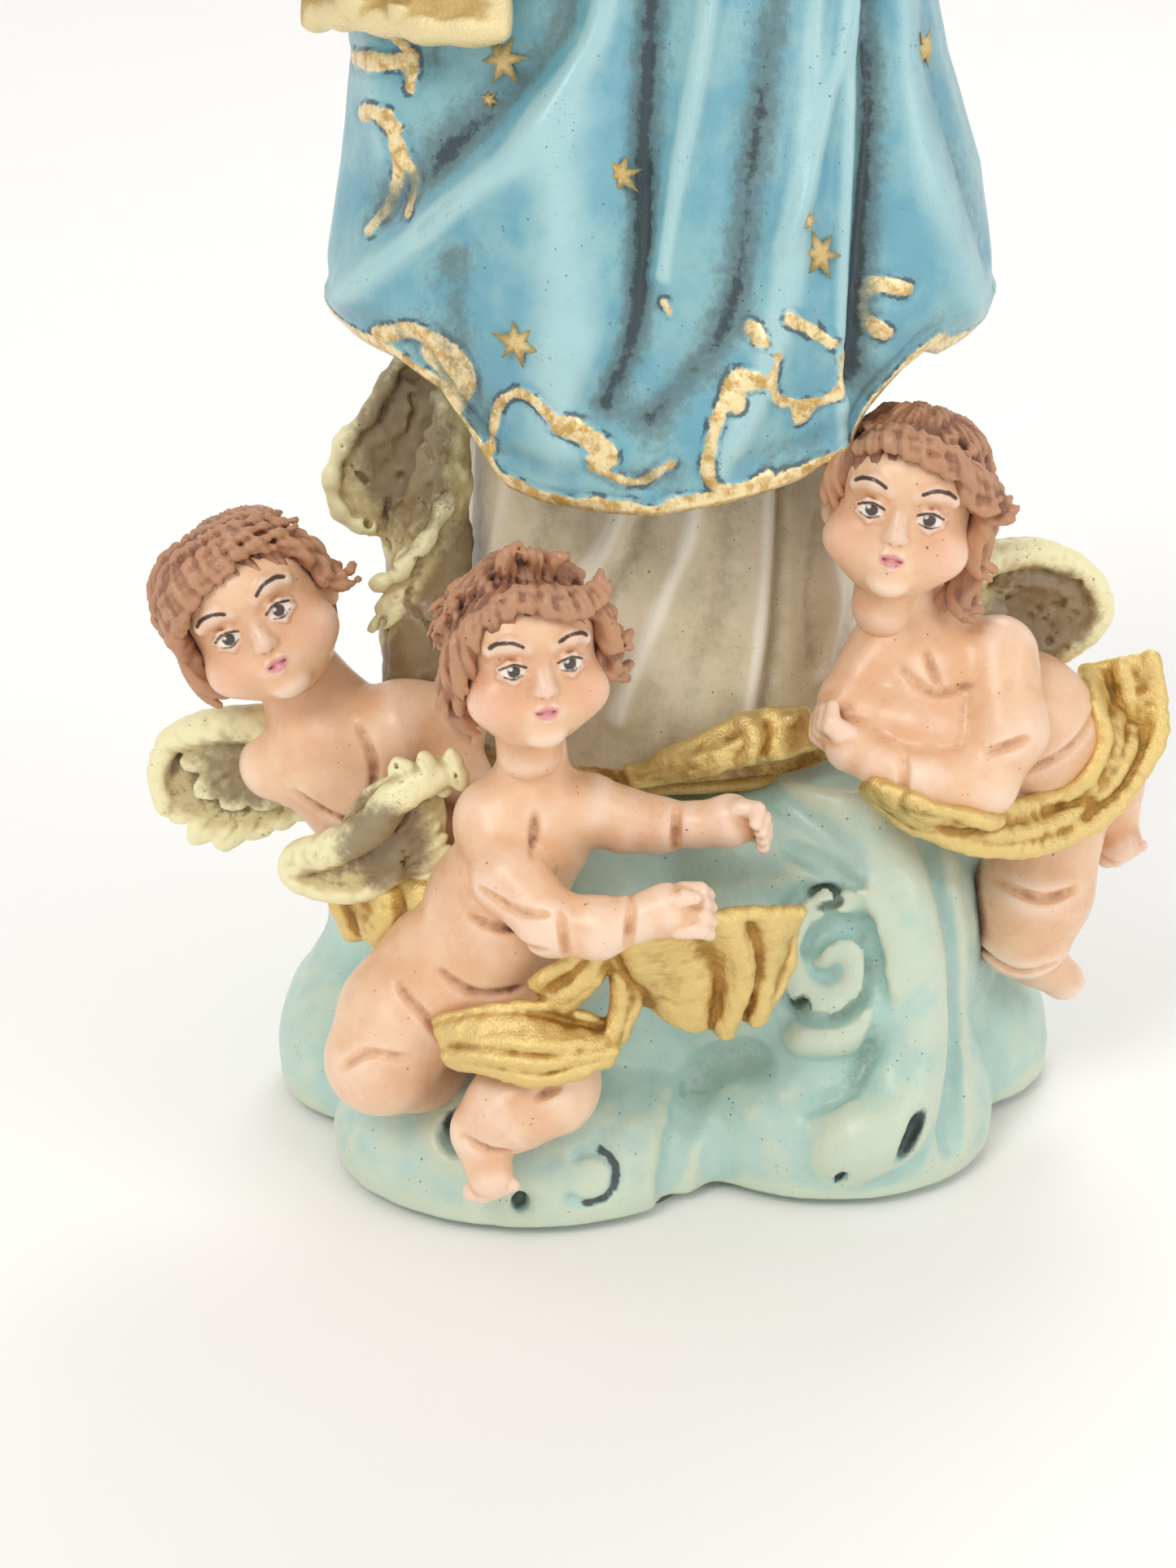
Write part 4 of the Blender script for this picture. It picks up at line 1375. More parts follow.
def buildLeaningCherub():
    pose = Pose(lean + (16.9, -14.8, 52.8), (-8, 8, -10), 1.01)
    addHead("leaning_cherub", "leaning_cherub_head", pose, {
        "seed": 15, "curl": 0.3, "sweep": -32, "fringe": 43, "fall": 1.05,
        "locks": [[(-3.8, -4.4, 4.4), (-1.6, -5.6, 5.6), (1.2, -5.7, 5.2), (3.6, -4.8, 4.2)],
                  [(-4.4, -3.6, 4.0), (-5.2, -3.4, 2.2), (-5.3, -3.0, 0.2)],
                  [(1.6, -5.4, 5.2), (3.8, -4.8, 4.2), (5.2, -4.0, 2.4), (6.4, -3.8, 2.2)],
                  [(3.6, -4.2, 4.6), (5.6, -3.4, 3.2), (6.4, -2.8, 1.6), (7.6, -3.0, 1.8)],
                  [(5.0, -2.8, 2.2), (6.2, -2.4, 0.2), (6.0, -1.8, -2.0), (7.0, -1.4, -3.4)],
                  [(5.4, -0.8, -1.6), (5.9, -0.6, -3.8), (5.6, -0.2, -5.8), (6.4, -0.4, -6.8)],
                  [(5.0, 0.4, -2.0), (5.4, 0.2, -4.6), (4.6, 0.4, -6.6)]]})
    clay = Clay(lean + (6, -26, 6), lean + (41, 4, 50), 0.22)
    on = movedBy(lean)
    model(clay, lean, [
        ([(17.2, -13.6, 47.4), (18.2, -13.4, 44)], [2.5, 2.9], 1.0),
        ((19.8, -13.4, 39.8), (5.6, 4.6, 4.8), 1.5),
        ((19.0, -16.0, 36.6), (4.6, 4.2, 3.8), 1.6),
        ((26.0, -10.8, 34.6), (6.2, 5.5, 5.6), 2.2),
        ([(26.4, -10.6, 34.2), (31.0, -7.6, 30.6)], [5.6, 5.4], 1.8),
        ([(31.4, -6.8, 30.4), (34.4, -4.2, 27.2), (35.2, -3.6, 25.2)], [4.6, 3.3, 2.5], 1.3),
        ([(29.6, -8.6, 26.6), (28.8, -9.8, 20.6), (28.2, -9.6, 17.2)], [4.8, 4.4, 3.9], 1.3),
        ([(28.4, -9.0, 16.6), (29.6, -6.4, 13.6)], [3.5, 2.6], 1.0)])
    addFoot(clay, lean + (29.4, -6.8, 13.4), lean + (32.2, -6.4, 11.2), (0, -1, 0), (0.3, -0.8, 0.5))
    addFoot(clay, lean + (35.2, -4.0, 25.2), lean + (36.2, -5.0, 22.6), (0, -1, 0), (0.8, -0.4, 0.4))
    clay.limb(on([(24.2, -15.0, 41.6), (24.6, -18.0, 37.0), (22.8, -19.6, 33.6)]), [3.0, 3.0, 2.6], 1.0)
    clay.limb(on([(22.8, -19.6, 33.4), (18.6, -20.2, 33.8), (15.4, -19.4, 35.0)]), [2.6, 2.4, 1.8], 0.9)
    addHand(clay, lean + (15.6, -19.4, 35.0), lean + (13.4, -18.8, 36.0), (-0.8, 0.1, 0.5), (0.2, 0.5, 0.5),
            np.array((-0.3, -0.7, 0.6)))
    model(clay, lean, [
        ([(16.0, -13.6, 41.4), (13.4, -15.6, 38.4)], [2.8, 2.2], 1.0),
        ([(13.6, -15.8, 38.2), (12.4, -16.6, 36.6)], [2.1, 1.8], 0.8),
        ([(15.4, -17.0, 37.6), (18.8, -17.6, 36.4)], [1.9, 2.4], 1.0)])
    for line, size in (([(17.0, -22, 36.0), (16.8, -22, 32.4)], 0.2),
                       ([(23.0, -20, 36.4), (25.8, -18, 37.4)], 0.2),
                       ([(18.6, -18, 42.6), (19.6, -18, 40.4)], 0.16),
                       ([(16.6, -18, 41.6), (19.2, -18, 40.0), (22.0, -18, 40.4)], 0.16),
                       ([(26.0, -16, 33.0), (29.6, -14, 34.4), (32.2, -12, 36.4)], 0.2),
                       ([(25.4, -14.2, 22.6), (28.6, -14.6, 21.8), (31.4, -12.6, 22.2)], 0.3),
                       ([(24.6, -13.2, 16.2), (27.4, -13.4, 14.8), (30.4, -11.8, 15.4)], 0.26)):
        crease(clay, on(line), size)
    for k in range(7):
        spot = on([(22.6 + 1.7 * k, -17.8 + 0.95 * k, 29.7 + 0.25 * k)])[0]
        hit = clay.front(spot[0], spot[2], -30)
        if hit is not None:
            clay.oval(hit, (0.6, 0.8, 0.32), 0.15, None, True)
    clay.take(cloudClay, -0.7)
    clayPiece("leaning_cherub_flesh", clay, ["leaning_cherub_body", "leaning_cherub_arm"],
              skinPaint)
    body = clay
    wing = Clay(lean + (17, -16, 33), lean + (40, 2, 50), 0.18)
    wing.oval(lean + (27.6, -6.8, 42.4), (5.2, 1.7, 4.1), 0.6, turnTo(angleY=8, angleZ=14))
    wing.limb(on([(20.6, -10.2, 43.0), (25, -8.2, 42.6)]), [2.4, 2.2], 1.0)
    wing.oval(lean + (28.0, -8.7, 42.0), (4.0, 1.4, 2.9), 0.4, turnTo(angleY=8, angleZ=14), True)
    rim = smoothLine(on([(21.6, -9.6, 44.8), (23.8, -8.8, 46.8), (27.0, -7.8, 47.2), (30.4, -6.8, 46.0),
                         (32.8, -6.2, 43.6), (32.9, -6.0, 41.0), (30.6, -6.4, 38.8)]), 22)
    wing.limb(rim, np.linspace(1.3, 0.8, 22), 0.35)
    rng = np.random.default_rng(12)
    for k in range(30):
        hit = wing.front(*(lean[[0, 2]] + (rng.uniform(24.4, 31.6), rng.uniform(39.4, 45))), -16)
        if hit is not None:
            wing.ball(hit, rng.uniform(0.12, 0.3), 0.25, True)
    crinkle(wing, 23, 0.24)
    clayPiece("leaning_cherub_feathers", wing, ["leaning_cherub_wing"], wingPaint,
              lambda q: {"stain": 1.25 * insideOf(q, (lean + (28.0, -8, 42.2))[[0, 2]], 4.4, 3.6)})
    return body


def buildHemFold():
    clay = Clay((-9, -21, 28), (15, -11, 41), 0.2)
    clothPatch(clay, [[(-2.6, -14.6, 32.5), (1.6, -15.2, 34.6), (4.4, -15.2, 36.2), (7.0, -14.8, 37.0),
                       (10.4, -13.2, 36.6)],
                      [(-2.4, -15.2, 32.0), (1.9, -16.2, 33.6), (4.8, -16.4, 35.0), (7.8, -15.8, 35.6),
                       (11.0, -13.8, 35.4)],
                      [(-2.2, -15.4, 31.6), (2.2, -16.6, 32.8), (5.2, -16.8, 33.8), (8.4, -16.0, 34.2),
                       (11.4, -14.0, 34.2)]],
               3.4, 0.5, 0.36, 40, 12, 0.4)
    clay.limb(smoothLine([(-2.4, -15.2, 32.2), (1.8, -16.4, 33.7), (5.4, -16.4, 35.2), (9.6, -14.8, 36.8)],
                         24), 0.3 + 0.14 * np.sin(np.arange(24) * 0.9), 0.3)
    crinkle(clay, 31)
    clayPiece("gown_gilt_fold", clay, [], goldPaint)


buildHemFold()
buildFrontCherub()
buildSideCherub()
leaningBody = buildLeaningCherub()
buildDrapes(leaningBody)
print("cherubs done")


# The upper figure: hood, head, hair, arms and praying hands
hood = {
    "step": 0.34, "wall": 1.5, "trim": 0.95,
    "heights": [107.6, 115, 122, 130, 134, 138.5, 143, 148, 152, 155.4, 158, 159.6, 160.4],
    "wide": [16.6, 16.4, 16.4, 16.2, 13.6, 10.2, 9.3, 9.4, 9.2, 7.8, 5.4, 2.8, 0.4],
    "deep": [12.6, 12.2, 11.8, 10.6, 9.4, 8.2, 9.4, 10.0, 9.8, 8.4, 5.8, 3.0, 0.4],
    "back": [0.0, 0.2, 0.4, 0.8, 0.9, 0.4, -1.0, -1.9, -2.2, -2.2, -2.0, -2.0, -2.0]}


def hoodOpening(x, y, z):
    # signed distance to the parting round the face and down the front
    face = (np.sqrt((x / 6.3) ** 2 + ((z - 148.2) / 8.4) ** 2) - 1) * 6.3
    wide = np.interp(z, [106, 112, 122, 131, 137, 140, 144], [8.6, 8.4, 9.0, 7.6, 4.8, 4.6, 5.6])
    parting = np.maximum(np.abs(x) - wide, z - 146)
    return np.maximum(np.minimum(face, parting), y + 1.2)


def buildHood():
    h = hood
    low, high = (-19, -15.5, 107.2), (19, 15.5, 160.2)
    clay = Clay(low, high, h["step"])
    axes = [low[i] + h["step"] * np.arange(clay.count[i]) for i in range(3)]
    x, y, z = np.meshgrid(*axes, indexing="ij", sparse=True)
    level = np.linspace(h["heights"][0], h["heights"][-1], 220)
    soft = [np.convolve(np.pad(np.interp(level, h["heights"], h[k]), 7, "edge"), np.ones(15) / 15,
                        "valid") for k in ("wide", "deep", "back")]
    wide, deep, back = [np.interp(z, level, profile) for profile in soft]
    turn = np.arctan2(x, -(y - back))
    fall = np.clip((144 - z) / 30, 0, 1)
    folds = fall * np.clip((z - 107) / 7, 0.1,
                           1) * (0.75 * np.cos(turn * 9 + z / 16) + 0.4
                                 * np.cos(turn * 15 - z / 9)) + 0.25 * np.cos(z / 2.6 + turn
                                         * 3) * (z > 0) * np.clip((z - 128) / 14, 0, 1)
    ring = np.sqrt((x / wide) ** 2 + ((y - back) / deep) ** 2) + 1e-6
    slope = np.sqrt((x / wide ** 2) ** 2 + ((y - back) / deep ** 2) ** 2) / ring + 1e-6
    outer = (ring - 1) / slope - folds * 0.6
    outer = np.maximum(outer, np.maximum(z - 159.9, 107.5 - z))
    opening = hoodOpening(x, y, z)
    hollow = np.maximum(outer + h["wall"], y - 6)
    field = np.maximum(outer, -softMin(opening, hollow, 0.4))
    roll = np.sqrt((outer + 0.35) ** 2 + opening ** 2) - 0.8       # rolled hem round the parting
    roll = np.maximum(roll, y + 0.9)
    clay.field = softMin(field, roll, 0.5).astype(np.float32)
    clay.field = np.maximum(clay.field, (107.5 - z).astype(np.float32))
    tuck = smoothLine([(-9.6, -10.8, 109.0), (-6, -12.4, 108.2), (0, -13.3, 107.8), (6, -12.4, 108.2),
                       (9.6, -10.8, 109.0)], 20)
    clay.limb(tuck, 1.25 + 0.1 * np.sin(np.arange(20) * 1.9), 0.6)

    def values(points):
        d = np.abs(hoodOpening(points[:, 0], points[:, 1] - 3, points[:, 2]))
        tuckEdge = np.where(points[:, 1] < -7, np.abs(points[:, 2] - 108.6) - 0.5, 9)
        return {"gilt": np.where(points[:, 2] < 110.4, tuckEdge, d - h["trim"])}
    piece = addClay("hood_cloth", clay, ["hood"], values, 1.0)
    piece.data.materials.append(bluePaint)
    return clay


ladyMarks = {
    "brow": [(1.1, 1.75), (2.2, 2.35), (3.3, 2.2), (4.2, 1.5)], "browHalf": 0.16,
    "lash": [(1.15, 0.05), (1.9, 0.42), (2.8, 0.42), (3.75, -0.1)], "lashHalf": 0.13,
    "under": [(1.5, -0.42), (2.5, -0.62), (3.4, -0.35)], "iris": (2.45, -0.05, 0.5),
    "white": (2.45, -0.1, 1.15, 0.46), "lip": (0, -5.15, 1.35, 0.55), "cheek": (3.4, -3.0, 1.9),
    "nose": (-3.4, 0.6)}


def buildHead():
    low, high = [np.array(c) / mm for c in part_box("head")]
    pose = Pose(((low[0] + high[0]) / 2, -3.2, 149.0), (10, 0, 0), 0.98)
    s = Sculpt(pose, (-7.6, -9.2, -17), (7.6, 8.6, 10), 0.19)
    s.oval((0, 0.6, 1.8), (6.0, 6.9, 7.0))
    s.oval((0, -1.7, -0.8), (5.0, 5.2, 6.4), 1.0)
    s.oval((0, -3.1, -4.8), (3.7, 3.5, 3.5), 1.2)
    s.oval((0, -5.6, -7.7), (1.35, 1.2, 1.05), 1.0)
    s.both("oval", (2.9, -4.7, -2.6), (1.9, 1.5, 2.0), 1.0)
    s.both("oval", (2.35, -7.35, 0.25), (1.6, 0.95, 0.85), 0.7, cut=True)
    s.both("oval", (2.45, -5.72, -0.05), (1.3, 0.85, 0.75), 0.15)
    s.both("limb", [(1.1, -6.35, -0.05), (1.9, -6.72, 0.42), (2.9, -6.6, 0.42), (3.85, -5.8, -0.1)],
           [0.18, 0.3, 0.3, 0.18], 0.25)
    s.both("limb", [(0.9, -6.7, 1.3), (2.4, -6.6, 2.0), (4.0, -5.5, 1.5)], 0.4, 0.7)
    s.limb([(0, -6.3, 1.0), (0, -7.0, -1.0), (0, -7.75, -3.0)], [0.42, 0.5, 0.66], 0.55)
    s.both("oval", (0.7, -7.15, -3.25), (0.45, 0.5, 0.4), 0.3)
    s.both("oval", (0.36, -7.55, -3.72), (0.18, 0.3, 0.14), 0.1, cut=True)
    s.oval((0, -5.9, -5.1), (1.7, 0.8, 1.2), 0.7)
    s.limb([(-1.35, -6.0, -5.0), (-0.5, -6.65, -4.75), (0, -6.65, -4.86), (0.5, -6.65, -4.75),
            (1.35, -6.0, -5.0)], [0.16, 0.3, 0.26, 0.3, 0.16], 0.25)
    s.limb([(-1.0, -6.1, -5.4), (0, -6.6, -5.52), (1.0, -6.1, -5.4)], [0.2, 0.36, 0.2], 0.25)
    s.limb([(-1.4, -6.2, -5.1), (0, -7.0, -5.12), (1.4, -6.2, -5.1)], 0.12, 0.12, True)
    s.limb([(0, 0.6, -6), (0, 0.2, -10), (0, 1.6, -15)], [3.3, 2.8, 3.6], 1.2)
    clayPiece("figure_face", s.clay, ["head"], facesPaint, facePaint(pose, ladyMarks), 0.6)
    s = Sculpt(pose, (-9, -9.4, -14.5), (9, 9, 10.4), 0.19)
    rng = np.random.default_rng(30)
    for side in (-1, 1):
        for k in range(7):
            drift = rng.uniform(-0.15, 0.15)
            path = [(side * 0.25, -4.8 + 0.9 * k, 8.1 + 0.15 * k),
                    (side * (2.6 + 0.1 * k), -5.9 + 0.85 * k, 6.6 + 0.2 * k),
                    (side * (4.9 + 0.1 * k), -5.1 + 0.75 * k, 3.8),
                    (side * (5.9 + drift), -4.0 + 0.6 * k, 0.4),
                    (side * (5.7 + 0.3 * math.sin(k)), -3.6 + 0.6 * k, -3.2),
                    (side * (5.9 - drift), -3.4 + 0.55 * k, -6.8),
                    (side * (5.3 + 0.1 * k), -3.4 + 0.5 * k, -10.0),
                    (side * (5.8 + 0.1 * k), -4.0 + 0.5 * k, -12.6)]
            path = smoothLine(path, 26)
            path[:, 0] += side * 0.22 * np.sin(np.linspace(0, 12, 26) + k)
            s.limb(path, np.interp(np.linspace(0, 1, 26), [0, 0.3, 0.8, 1], [0.55, 0.85, 0.8, 0.4]), 0.16)
    s.oval((0, 1.8, 2.2), (6.3, 6.2, 7.0), 0.4)
    clayPiece("figure_hair", s.clay, ["head"], hairPaint, None, 0.6)


def buildArms():
    for side, name in ((-1, "right"), (1, "left")):
        box = [np.array(c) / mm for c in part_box("sleeve_" + name)]
        clay = Clay(np.minimum(box[0], (side * 2, 0, 200)) - 1.5,
                    np.maximum(box[1], (side * 2, 0, 0)) + 1.5, 0.24)
        at = mirrored(side)
        arm = smoothLine(at([(11.0, -0.2, 131), (14.2, -2.8, 124), (16.2, -6.0, 116.4),
                             (11.5, -10.6, 117.4), (6.0, -13.8, 119.8)]), 22)
        clay.limb(arm, np.interp(np.linspace(0, 1, 22), [0, 0.4, 0.6, 1], [4.2, 3.8, 3.7, 3.3]), 0.8)
        for off in (-1.2, 1.0):
            clothPatch(clay, [at([(15.8, -6.4 + off, 116.4), (10.8, -10.6 + off, 117.8),
                                  (5.4, -14.0 + off, 119.6)]),
                              at([(16.4, -6.2 + off, 112.6), (11.2, -10.8 + off, 113.2),
                                  (5.2, -14.6 + off, 116.0)]),
                              at([(16.0, -6.0 + off * 0.6, 109.8), (11.4, -10.6 + off * 0.6, 110.4),
                                  (5.8, -14.4 + off * 0.6, 113.8)])], 2.6, 0.45, 1.0, 24)
        clay.limb(at([(15.2, -7.4, 114.2), (11.0, -11.0, 115.2), (6.2, -14.0, 117.4)]), [2.0, 1.9, 1.6],
                  1.3)
        for k in range(4):
            a, b = arm[5 + 3 * k], arm[8 + 3 * k]
            lean = np.array([0, -3.6, 1.4 - 0.9 * k])
            clay.groove([a + lean + (side * 1.0, 0, 1.0), (a + b) / 2 + lean, b + lean + (0, 0, -1.4)],
                        0.16, 1.5)
        cuff = np.array(at([(4.8, -14.3, 119.9)])[0])
        facing = unit(arm[-1] - arm[-4])
        clay.limb([cuff - facing * 1.4, cuff + facing * 3.4], [2.2, 2.45], 0.3, True)

        def values(points, facing=facing, cuff=cuff):
            return {"gilt": (cuff - points) @ facing - 0.75}
        piece = addClay("sleeve_cloth_" + name, clay, ["sleeve_" + name], values, 0.9)
        piece.data.materials.append(creamPaint)
    clay = Clay((-7.5, -21.5, 115), (7.5, -11.5, 134.5), 0.16)
    for side in (-1, 1):
        at = mirrored(side)
        clay.limb(at([(5.6, -13.8, 119.6), (2.6, -15.2, 121.4), (1.35, -15.8, 123.2)]), [1.9, 1.7, 1.5],
                  0.7)
        clay.oval((side * 1.05, -16.4, 124.6), (1.0, 1.9, 2.4), 0.5)
        for k in range(4):
            y = -15.0 - 0.95 * k
            tall = (4.4, 5.4, 5.6, 4.9)[k]
            clay.limb(at([(1.0, y, 125.6), (0.85, y - 0.55, 125.8 + tall * 0.55),
                          (0.62, y - 1.1, 125.6 + tall)]), [0.66, 0.6, 0.46], 0.1)
        clay.limb(at([(1.3, -14.8, 123.4), (1.0, -14.0, 125.6), (0.7, -14.2, 127.4)]), [0.8, 0.66, 0.5],
                  0.2)
    clay.groove([(0, -21, 123), (0, -21, 132)], 0.1, 0.1)
    clayPiece("praying_hands", clay, ["hands"], skinPaint, None, 0.5)


def buildTurnback():
    box = [np.array(c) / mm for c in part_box("mantle_turnback")]
    clay = Clay(box[0] - 2.5, box[1] + 2.5, 0.26)
    top = smoothLine([(-18.2, -6.0, 113.6), (-16.8, -9.4, 114.8), (-14.0, -12.2, 116.0),
                      (-11.0, -13.4, 116.6)], 11)
    low = smoothLine([(-25.0, -6.2, 86.6), (-22.6, -9.8, 87.2), (-19.0, -13.4, 87.2), (-15.6, -16.2, 87.0),
                      (-11.6, -17.8, 87.2)], 11)
    clothPatch(clay, [top, (top + low) / 2 + (-0.8, -0.2, 0), low], 2.6, 0.75, 1.0, 40, 50, 1.2)
    rim = low + (0, -0.5, -0.6)
    clay.limb(smoothLine(rim, 24), 1.0 + 0.12 * np.sin(np.arange(24) * 1.3), 0.35)
    clay.groove(smoothLine(low + (0, -1.6, 1.1), 20), 0.22, 0.4)
    crinkle(clay, 6, 0.06)
    clayPiece("mantle_lining", clay, ["mantle_turnback"], paleGold, None, 0.8)


paleGold = giltPaint("paleGold",
                     {"gold": "cdb070", "second": "bfa05c", "light": "f3e2b0", "dark": "8d6a38",
                      "metal": 0.3, "rough": 0.3, "wash": 0.45})
starGold = giltPaint("starGold",
                     {"gold": "e4c78c", "second": "d6b46e", "light": "fbeaba", "dark": "a9854c",
                      "metal": 0.15, "rough": 0.3, "wash": 0.4})
hoodClay = buildHood()
buildHead()
buildArms()
buildTurnback()
print("upper figure done")


# Stars and trims, laid along the cloth by Geometry Nodes
def nodeTree(name, sockets):
    tree = bpy.data.node_groups.new(name, "GeometryNodeTree")
    ids = {}
    tree.interface.new_socket("Geometry", in_out="INPUT", socket_type="NodeSocketGeometry")
    for key, kind in sockets.items():
        ids[key] = tree.interface.new_socket(key, in_out="INPUT", socket_type=kind).identifier
    tree.interface.new_socket("Geometry", in_out="OUTPUT", socket_type="NodeSocketGeometry")
    return tree, ids


class Weave(NodeMaker):
    # builds one node tree and runs it on a mesh
    def __init__(self, name, sockets):
        self.tree, self.ids = nodeTree(name, sockets)
        self.given = self.tree.nodes.new("NodeGroupInput").outputs

    def end(self, geometry, material):
        real = self.node("GeometryNodeRealizeInstances", None, {0: geometry})
        painted = self.node("GeometryNodeSetMaterial", None, {0: real.outputs[0], "Material": material})
        self.tree.links.new(painted.outputs[0], self.tree.nodes.new("NodeGroupOutput").inputs[0])

    def run(self, name, mesh, values, slot):
        worker = linked(name + "_work", mesh)
        modifier = worker.modifiers.new("weave", "NODES")
        modifier.node_group = self.tree
        for key, value in values.items():
            modifier[self.ids[key]] = value
        ready = worker.evaluated_get(bpy.context.evaluated_depsgraph_get())
        result = bpy.data.meshes.new_from_object(ready)
        result.name = name
        worker.modifiers.clear()
        bpy.data.objects.remove(worker)
        result.shade_smooth()
        piece = linked(name, result)
        keepPiece(piece)
        print("piece", name, len(result.polygons), "faces")
        return piece


trim = {"sides": 10, "seed": 5, "grain": 420.0}


def trimWeave(material):
    # a bead that follows a line, a little uneven as a brushed hem is
    w = Weave("trimAlongLine",
              {"Radius": "NodeSocketFloat", "Unevenness": "NodeSocketFloat", "Seed": "NodeSocketInt"})
    curve = w.node("GeometryNodeMeshToCurve", None, {0: w.given["Geometry"]})
    noise = w.node("ShaderNodeTexNoise", {"noise_dimensions": "4D"},
                   {"Scale": trim["grain"], "Detail": 2.0, "W": w.given["Seed"]})
    factor = (w.wire(noise.outputs[0]) - 0.5) * w.wire(w.given["Unevenness"]) + 1.0
    ring = w.node("GeometryNodeCurvePrimitiveCircle", None,
                  {"Resolution": trim["sides"], "Radius": w.given["Radius"]})
    tube = w.node("GeometryNodeCurveToMesh", None,
                  {"Curve": curve.outputs[0], "Profile Curve": ring.outputs[0], "Scale": factor,
                   "Fill Caps": True})
    w.end(tube.outputs[0], material)
    return w


def ringMesh(name, points):
    n = len(points)
    return plainMesh(name, points, [(i, (i + 1) % n) for i in range(n)])


stars = {
    "size": 1.9, "inner": 0.4, "thick": 0.42, "arms": 6, "seed": 3,
    # across, height and size of each star on the front
    "front": [(-11.6, 84.1, 1.0), (-12.7, 81.4, 0.42), (-3.4, 77.0, 0.8), (-10.3, 65.7, 0.95),
              (10.0, 71.6, 0.95), (8.9, 74.0, 0.42), (-12, 98, 0.9), (2, 101, 0.9), (13, 96, 0.9),
              (17.5, 84, 0.8)],
    # angle round the mantle and height
    "back": [(215, 78), (250, 92), (285, 74), (320, 90), (232, 100), (305, 103), (268, 66), (340, 70),
             (198, 92)],
    # across and height
    "hoodFront": [(-11, 118), (12, 116), (-12.5, 127), (12.6, 128), (-7.8, 138), (8, 150)],
    "hoodBack": [(-9, 122), (0, 130), (9, 118), (-4, 112), (5, 146), (-5, 151), (10, 131)]}


def starMesh():
    # a small raised star, arms along X and Y, face towards +Z
    n = stars["arms"]
    points = [(0, 0, stars["thick"]), (0, 0, -0.2)]
    for k in range(2 * n):
        r = 1.0 if k % 2 == 0 else stars["inner"]
        a = math.pi * k / n
        r *= 1 + 0.16 * math.sin(5.1 * k)          # arms brushed by hand
        points.append((r * math.cos(a), r * math.sin(a), 0.05 if k % 2 == 0 else 0.14))
    faces = []
    for k in range(2 * n):
        a, b = 2 + k, 2 + (k + 1) % (2 * n)
        faces += [(0, a, b), (1, b, a)]
    return plainMesh("starShape", np.array(points) * stars["size"], [], faces)


def starWeave(material, shape):
    w = Weave("starsOnCloth", {"Star size": "NodeSocketFloat", "Seed": "NodeSocketInt"})
    info = w.node("GeometryNodeObjectInfo", None, {"Object": shape})
    size = w.node("GeometryNodeInputNamedAttribute", {"data_type": "FLOAT"}, {"Name": "size"})
    face = w.node("GeometryNodeInputNamedAttribute", {"data_type": "FLOAT_VECTOR"}, {"Name": "facing"})
    align = w.node("FunctionNodeAlignRotationToVector", {"axis": "Z"}, {"Vector": face.outputs[0]})
    spin = w.node("FunctionNodeRandomValue", {"data_type": "FLOAT_VECTOR"},
                  {0: (0, 0, -0.5), 1: (0, 0, 0.5), "Seed": w.given["Seed"]})
    turned = w.node("FunctionNodeRotateRotation", {"rotation_space": "LOCAL"},
                    {0: align.outputs[0], 1: spin.outputs[0]})
    wide = w.wire(size.outputs[0]) * w.wire(w.given["Star size"])
    copies = w.node("GeometryNodeInstanceOnPoints", None,
                    {"Points": w.given["Geometry"], "Instance": info.outputs["Geometry"],
                     "Rotation": turned.outputs[0], "Scale": wide})
    w.end(copies.outputs[0], material)
    return w


def onMantle(turn, z, tip):
    # a place on the cloth at an angle and height, and which way it faces
    turn, z = np.array([turn]), np.array([float(z)])
    x, y, normal = mantlePoint(turn, z)
    out = mantleRelief(turn, z, x)[0]
    spot = np.array([x[0] + normal[0, 0] * out[0], y[0] + normal[0, 1] * out[0], z[0]])
    return spot, np.array([normal[0, 0], normal[0, 1], tip])


def frontTurn(x, z):
    # the angle at which the mantle's front passes x
    turns = np.linspace(5, 175, 341)
    return turns[int(np.argmin(np.abs(mantlePoint(turns, np.full(341, float(z)))[0] - x)))]


def addStars():
    rows = []
    for x, z, size in stars["front"]:
        spot, way = onMantle(frontTurn(x, z), z, 0.12)
        rows.append((spot + way * 0.05, way, size))
    rows += [(*onMantle(turn - 360.0, z, 0.1), 0.85) for turn, z in stars["back"]]
    for key, start, into in (("hoodFront", -18, (0, 1, 0)), ("hoodBack", 18, (0, -1, 0))):
        for x, z in stars[key]:
            hit = hoodClay.front(x, z, start, into)
            if hit is not None:
                rows.append((hit, hoodClay.gradient(hit[None])[0], 0.7))
    spots, facing, sizes = zip(*rows)
    mesh = plainMesh("starSpots", spots)
    store(mesh, "size", sizes)
    layer = mesh.attributes.new("facing", "FLOAT_VECTOR", "POINT")
    layer.data.foreach_set("vector", np.array(facing, np.float32).ravel())
    shape = bpy.data.objects.new("starShape", starMesh())
    weave = starWeave(starGold, shape)
    weave.run("mantle_stars", mesh, {"Star size": 1.0, "Seed": stars["seed"]}, "gilt")
    bpy.data.objects.remove(shape)


addStars()
beads = (("mantle_hem_bead", "hemLine", mantleRows[0][0], 0.25, 0.42, 1.1),
         ("gown_hem_bead", "gownLine", gownPoints[:gown["columns"]], 0.35, 0.5, 0.9))
for n, (name, line, ring, rise, radius, uneven) in enumerate(beads):
    # each bead follows every other corner of its ring
    path = ringMesh(line, (ring + np.array([0, 0, rise]))[::2])
    values = {"Radius": radius * mm, "Unevenness": uneven, "Seed": trim["seed"] + n}
    trimWeave(paleGold).run(name, path, values, "gilt")


# Dirt and wash that settle where pieces meet, worked out for the whole statue at once
settle = {"step": 0.8, "blur": 2, "margin": 8, "leastFaces": 3000, "lift": 1.1, "clean": 0.36,
          "dirty": 0.86}


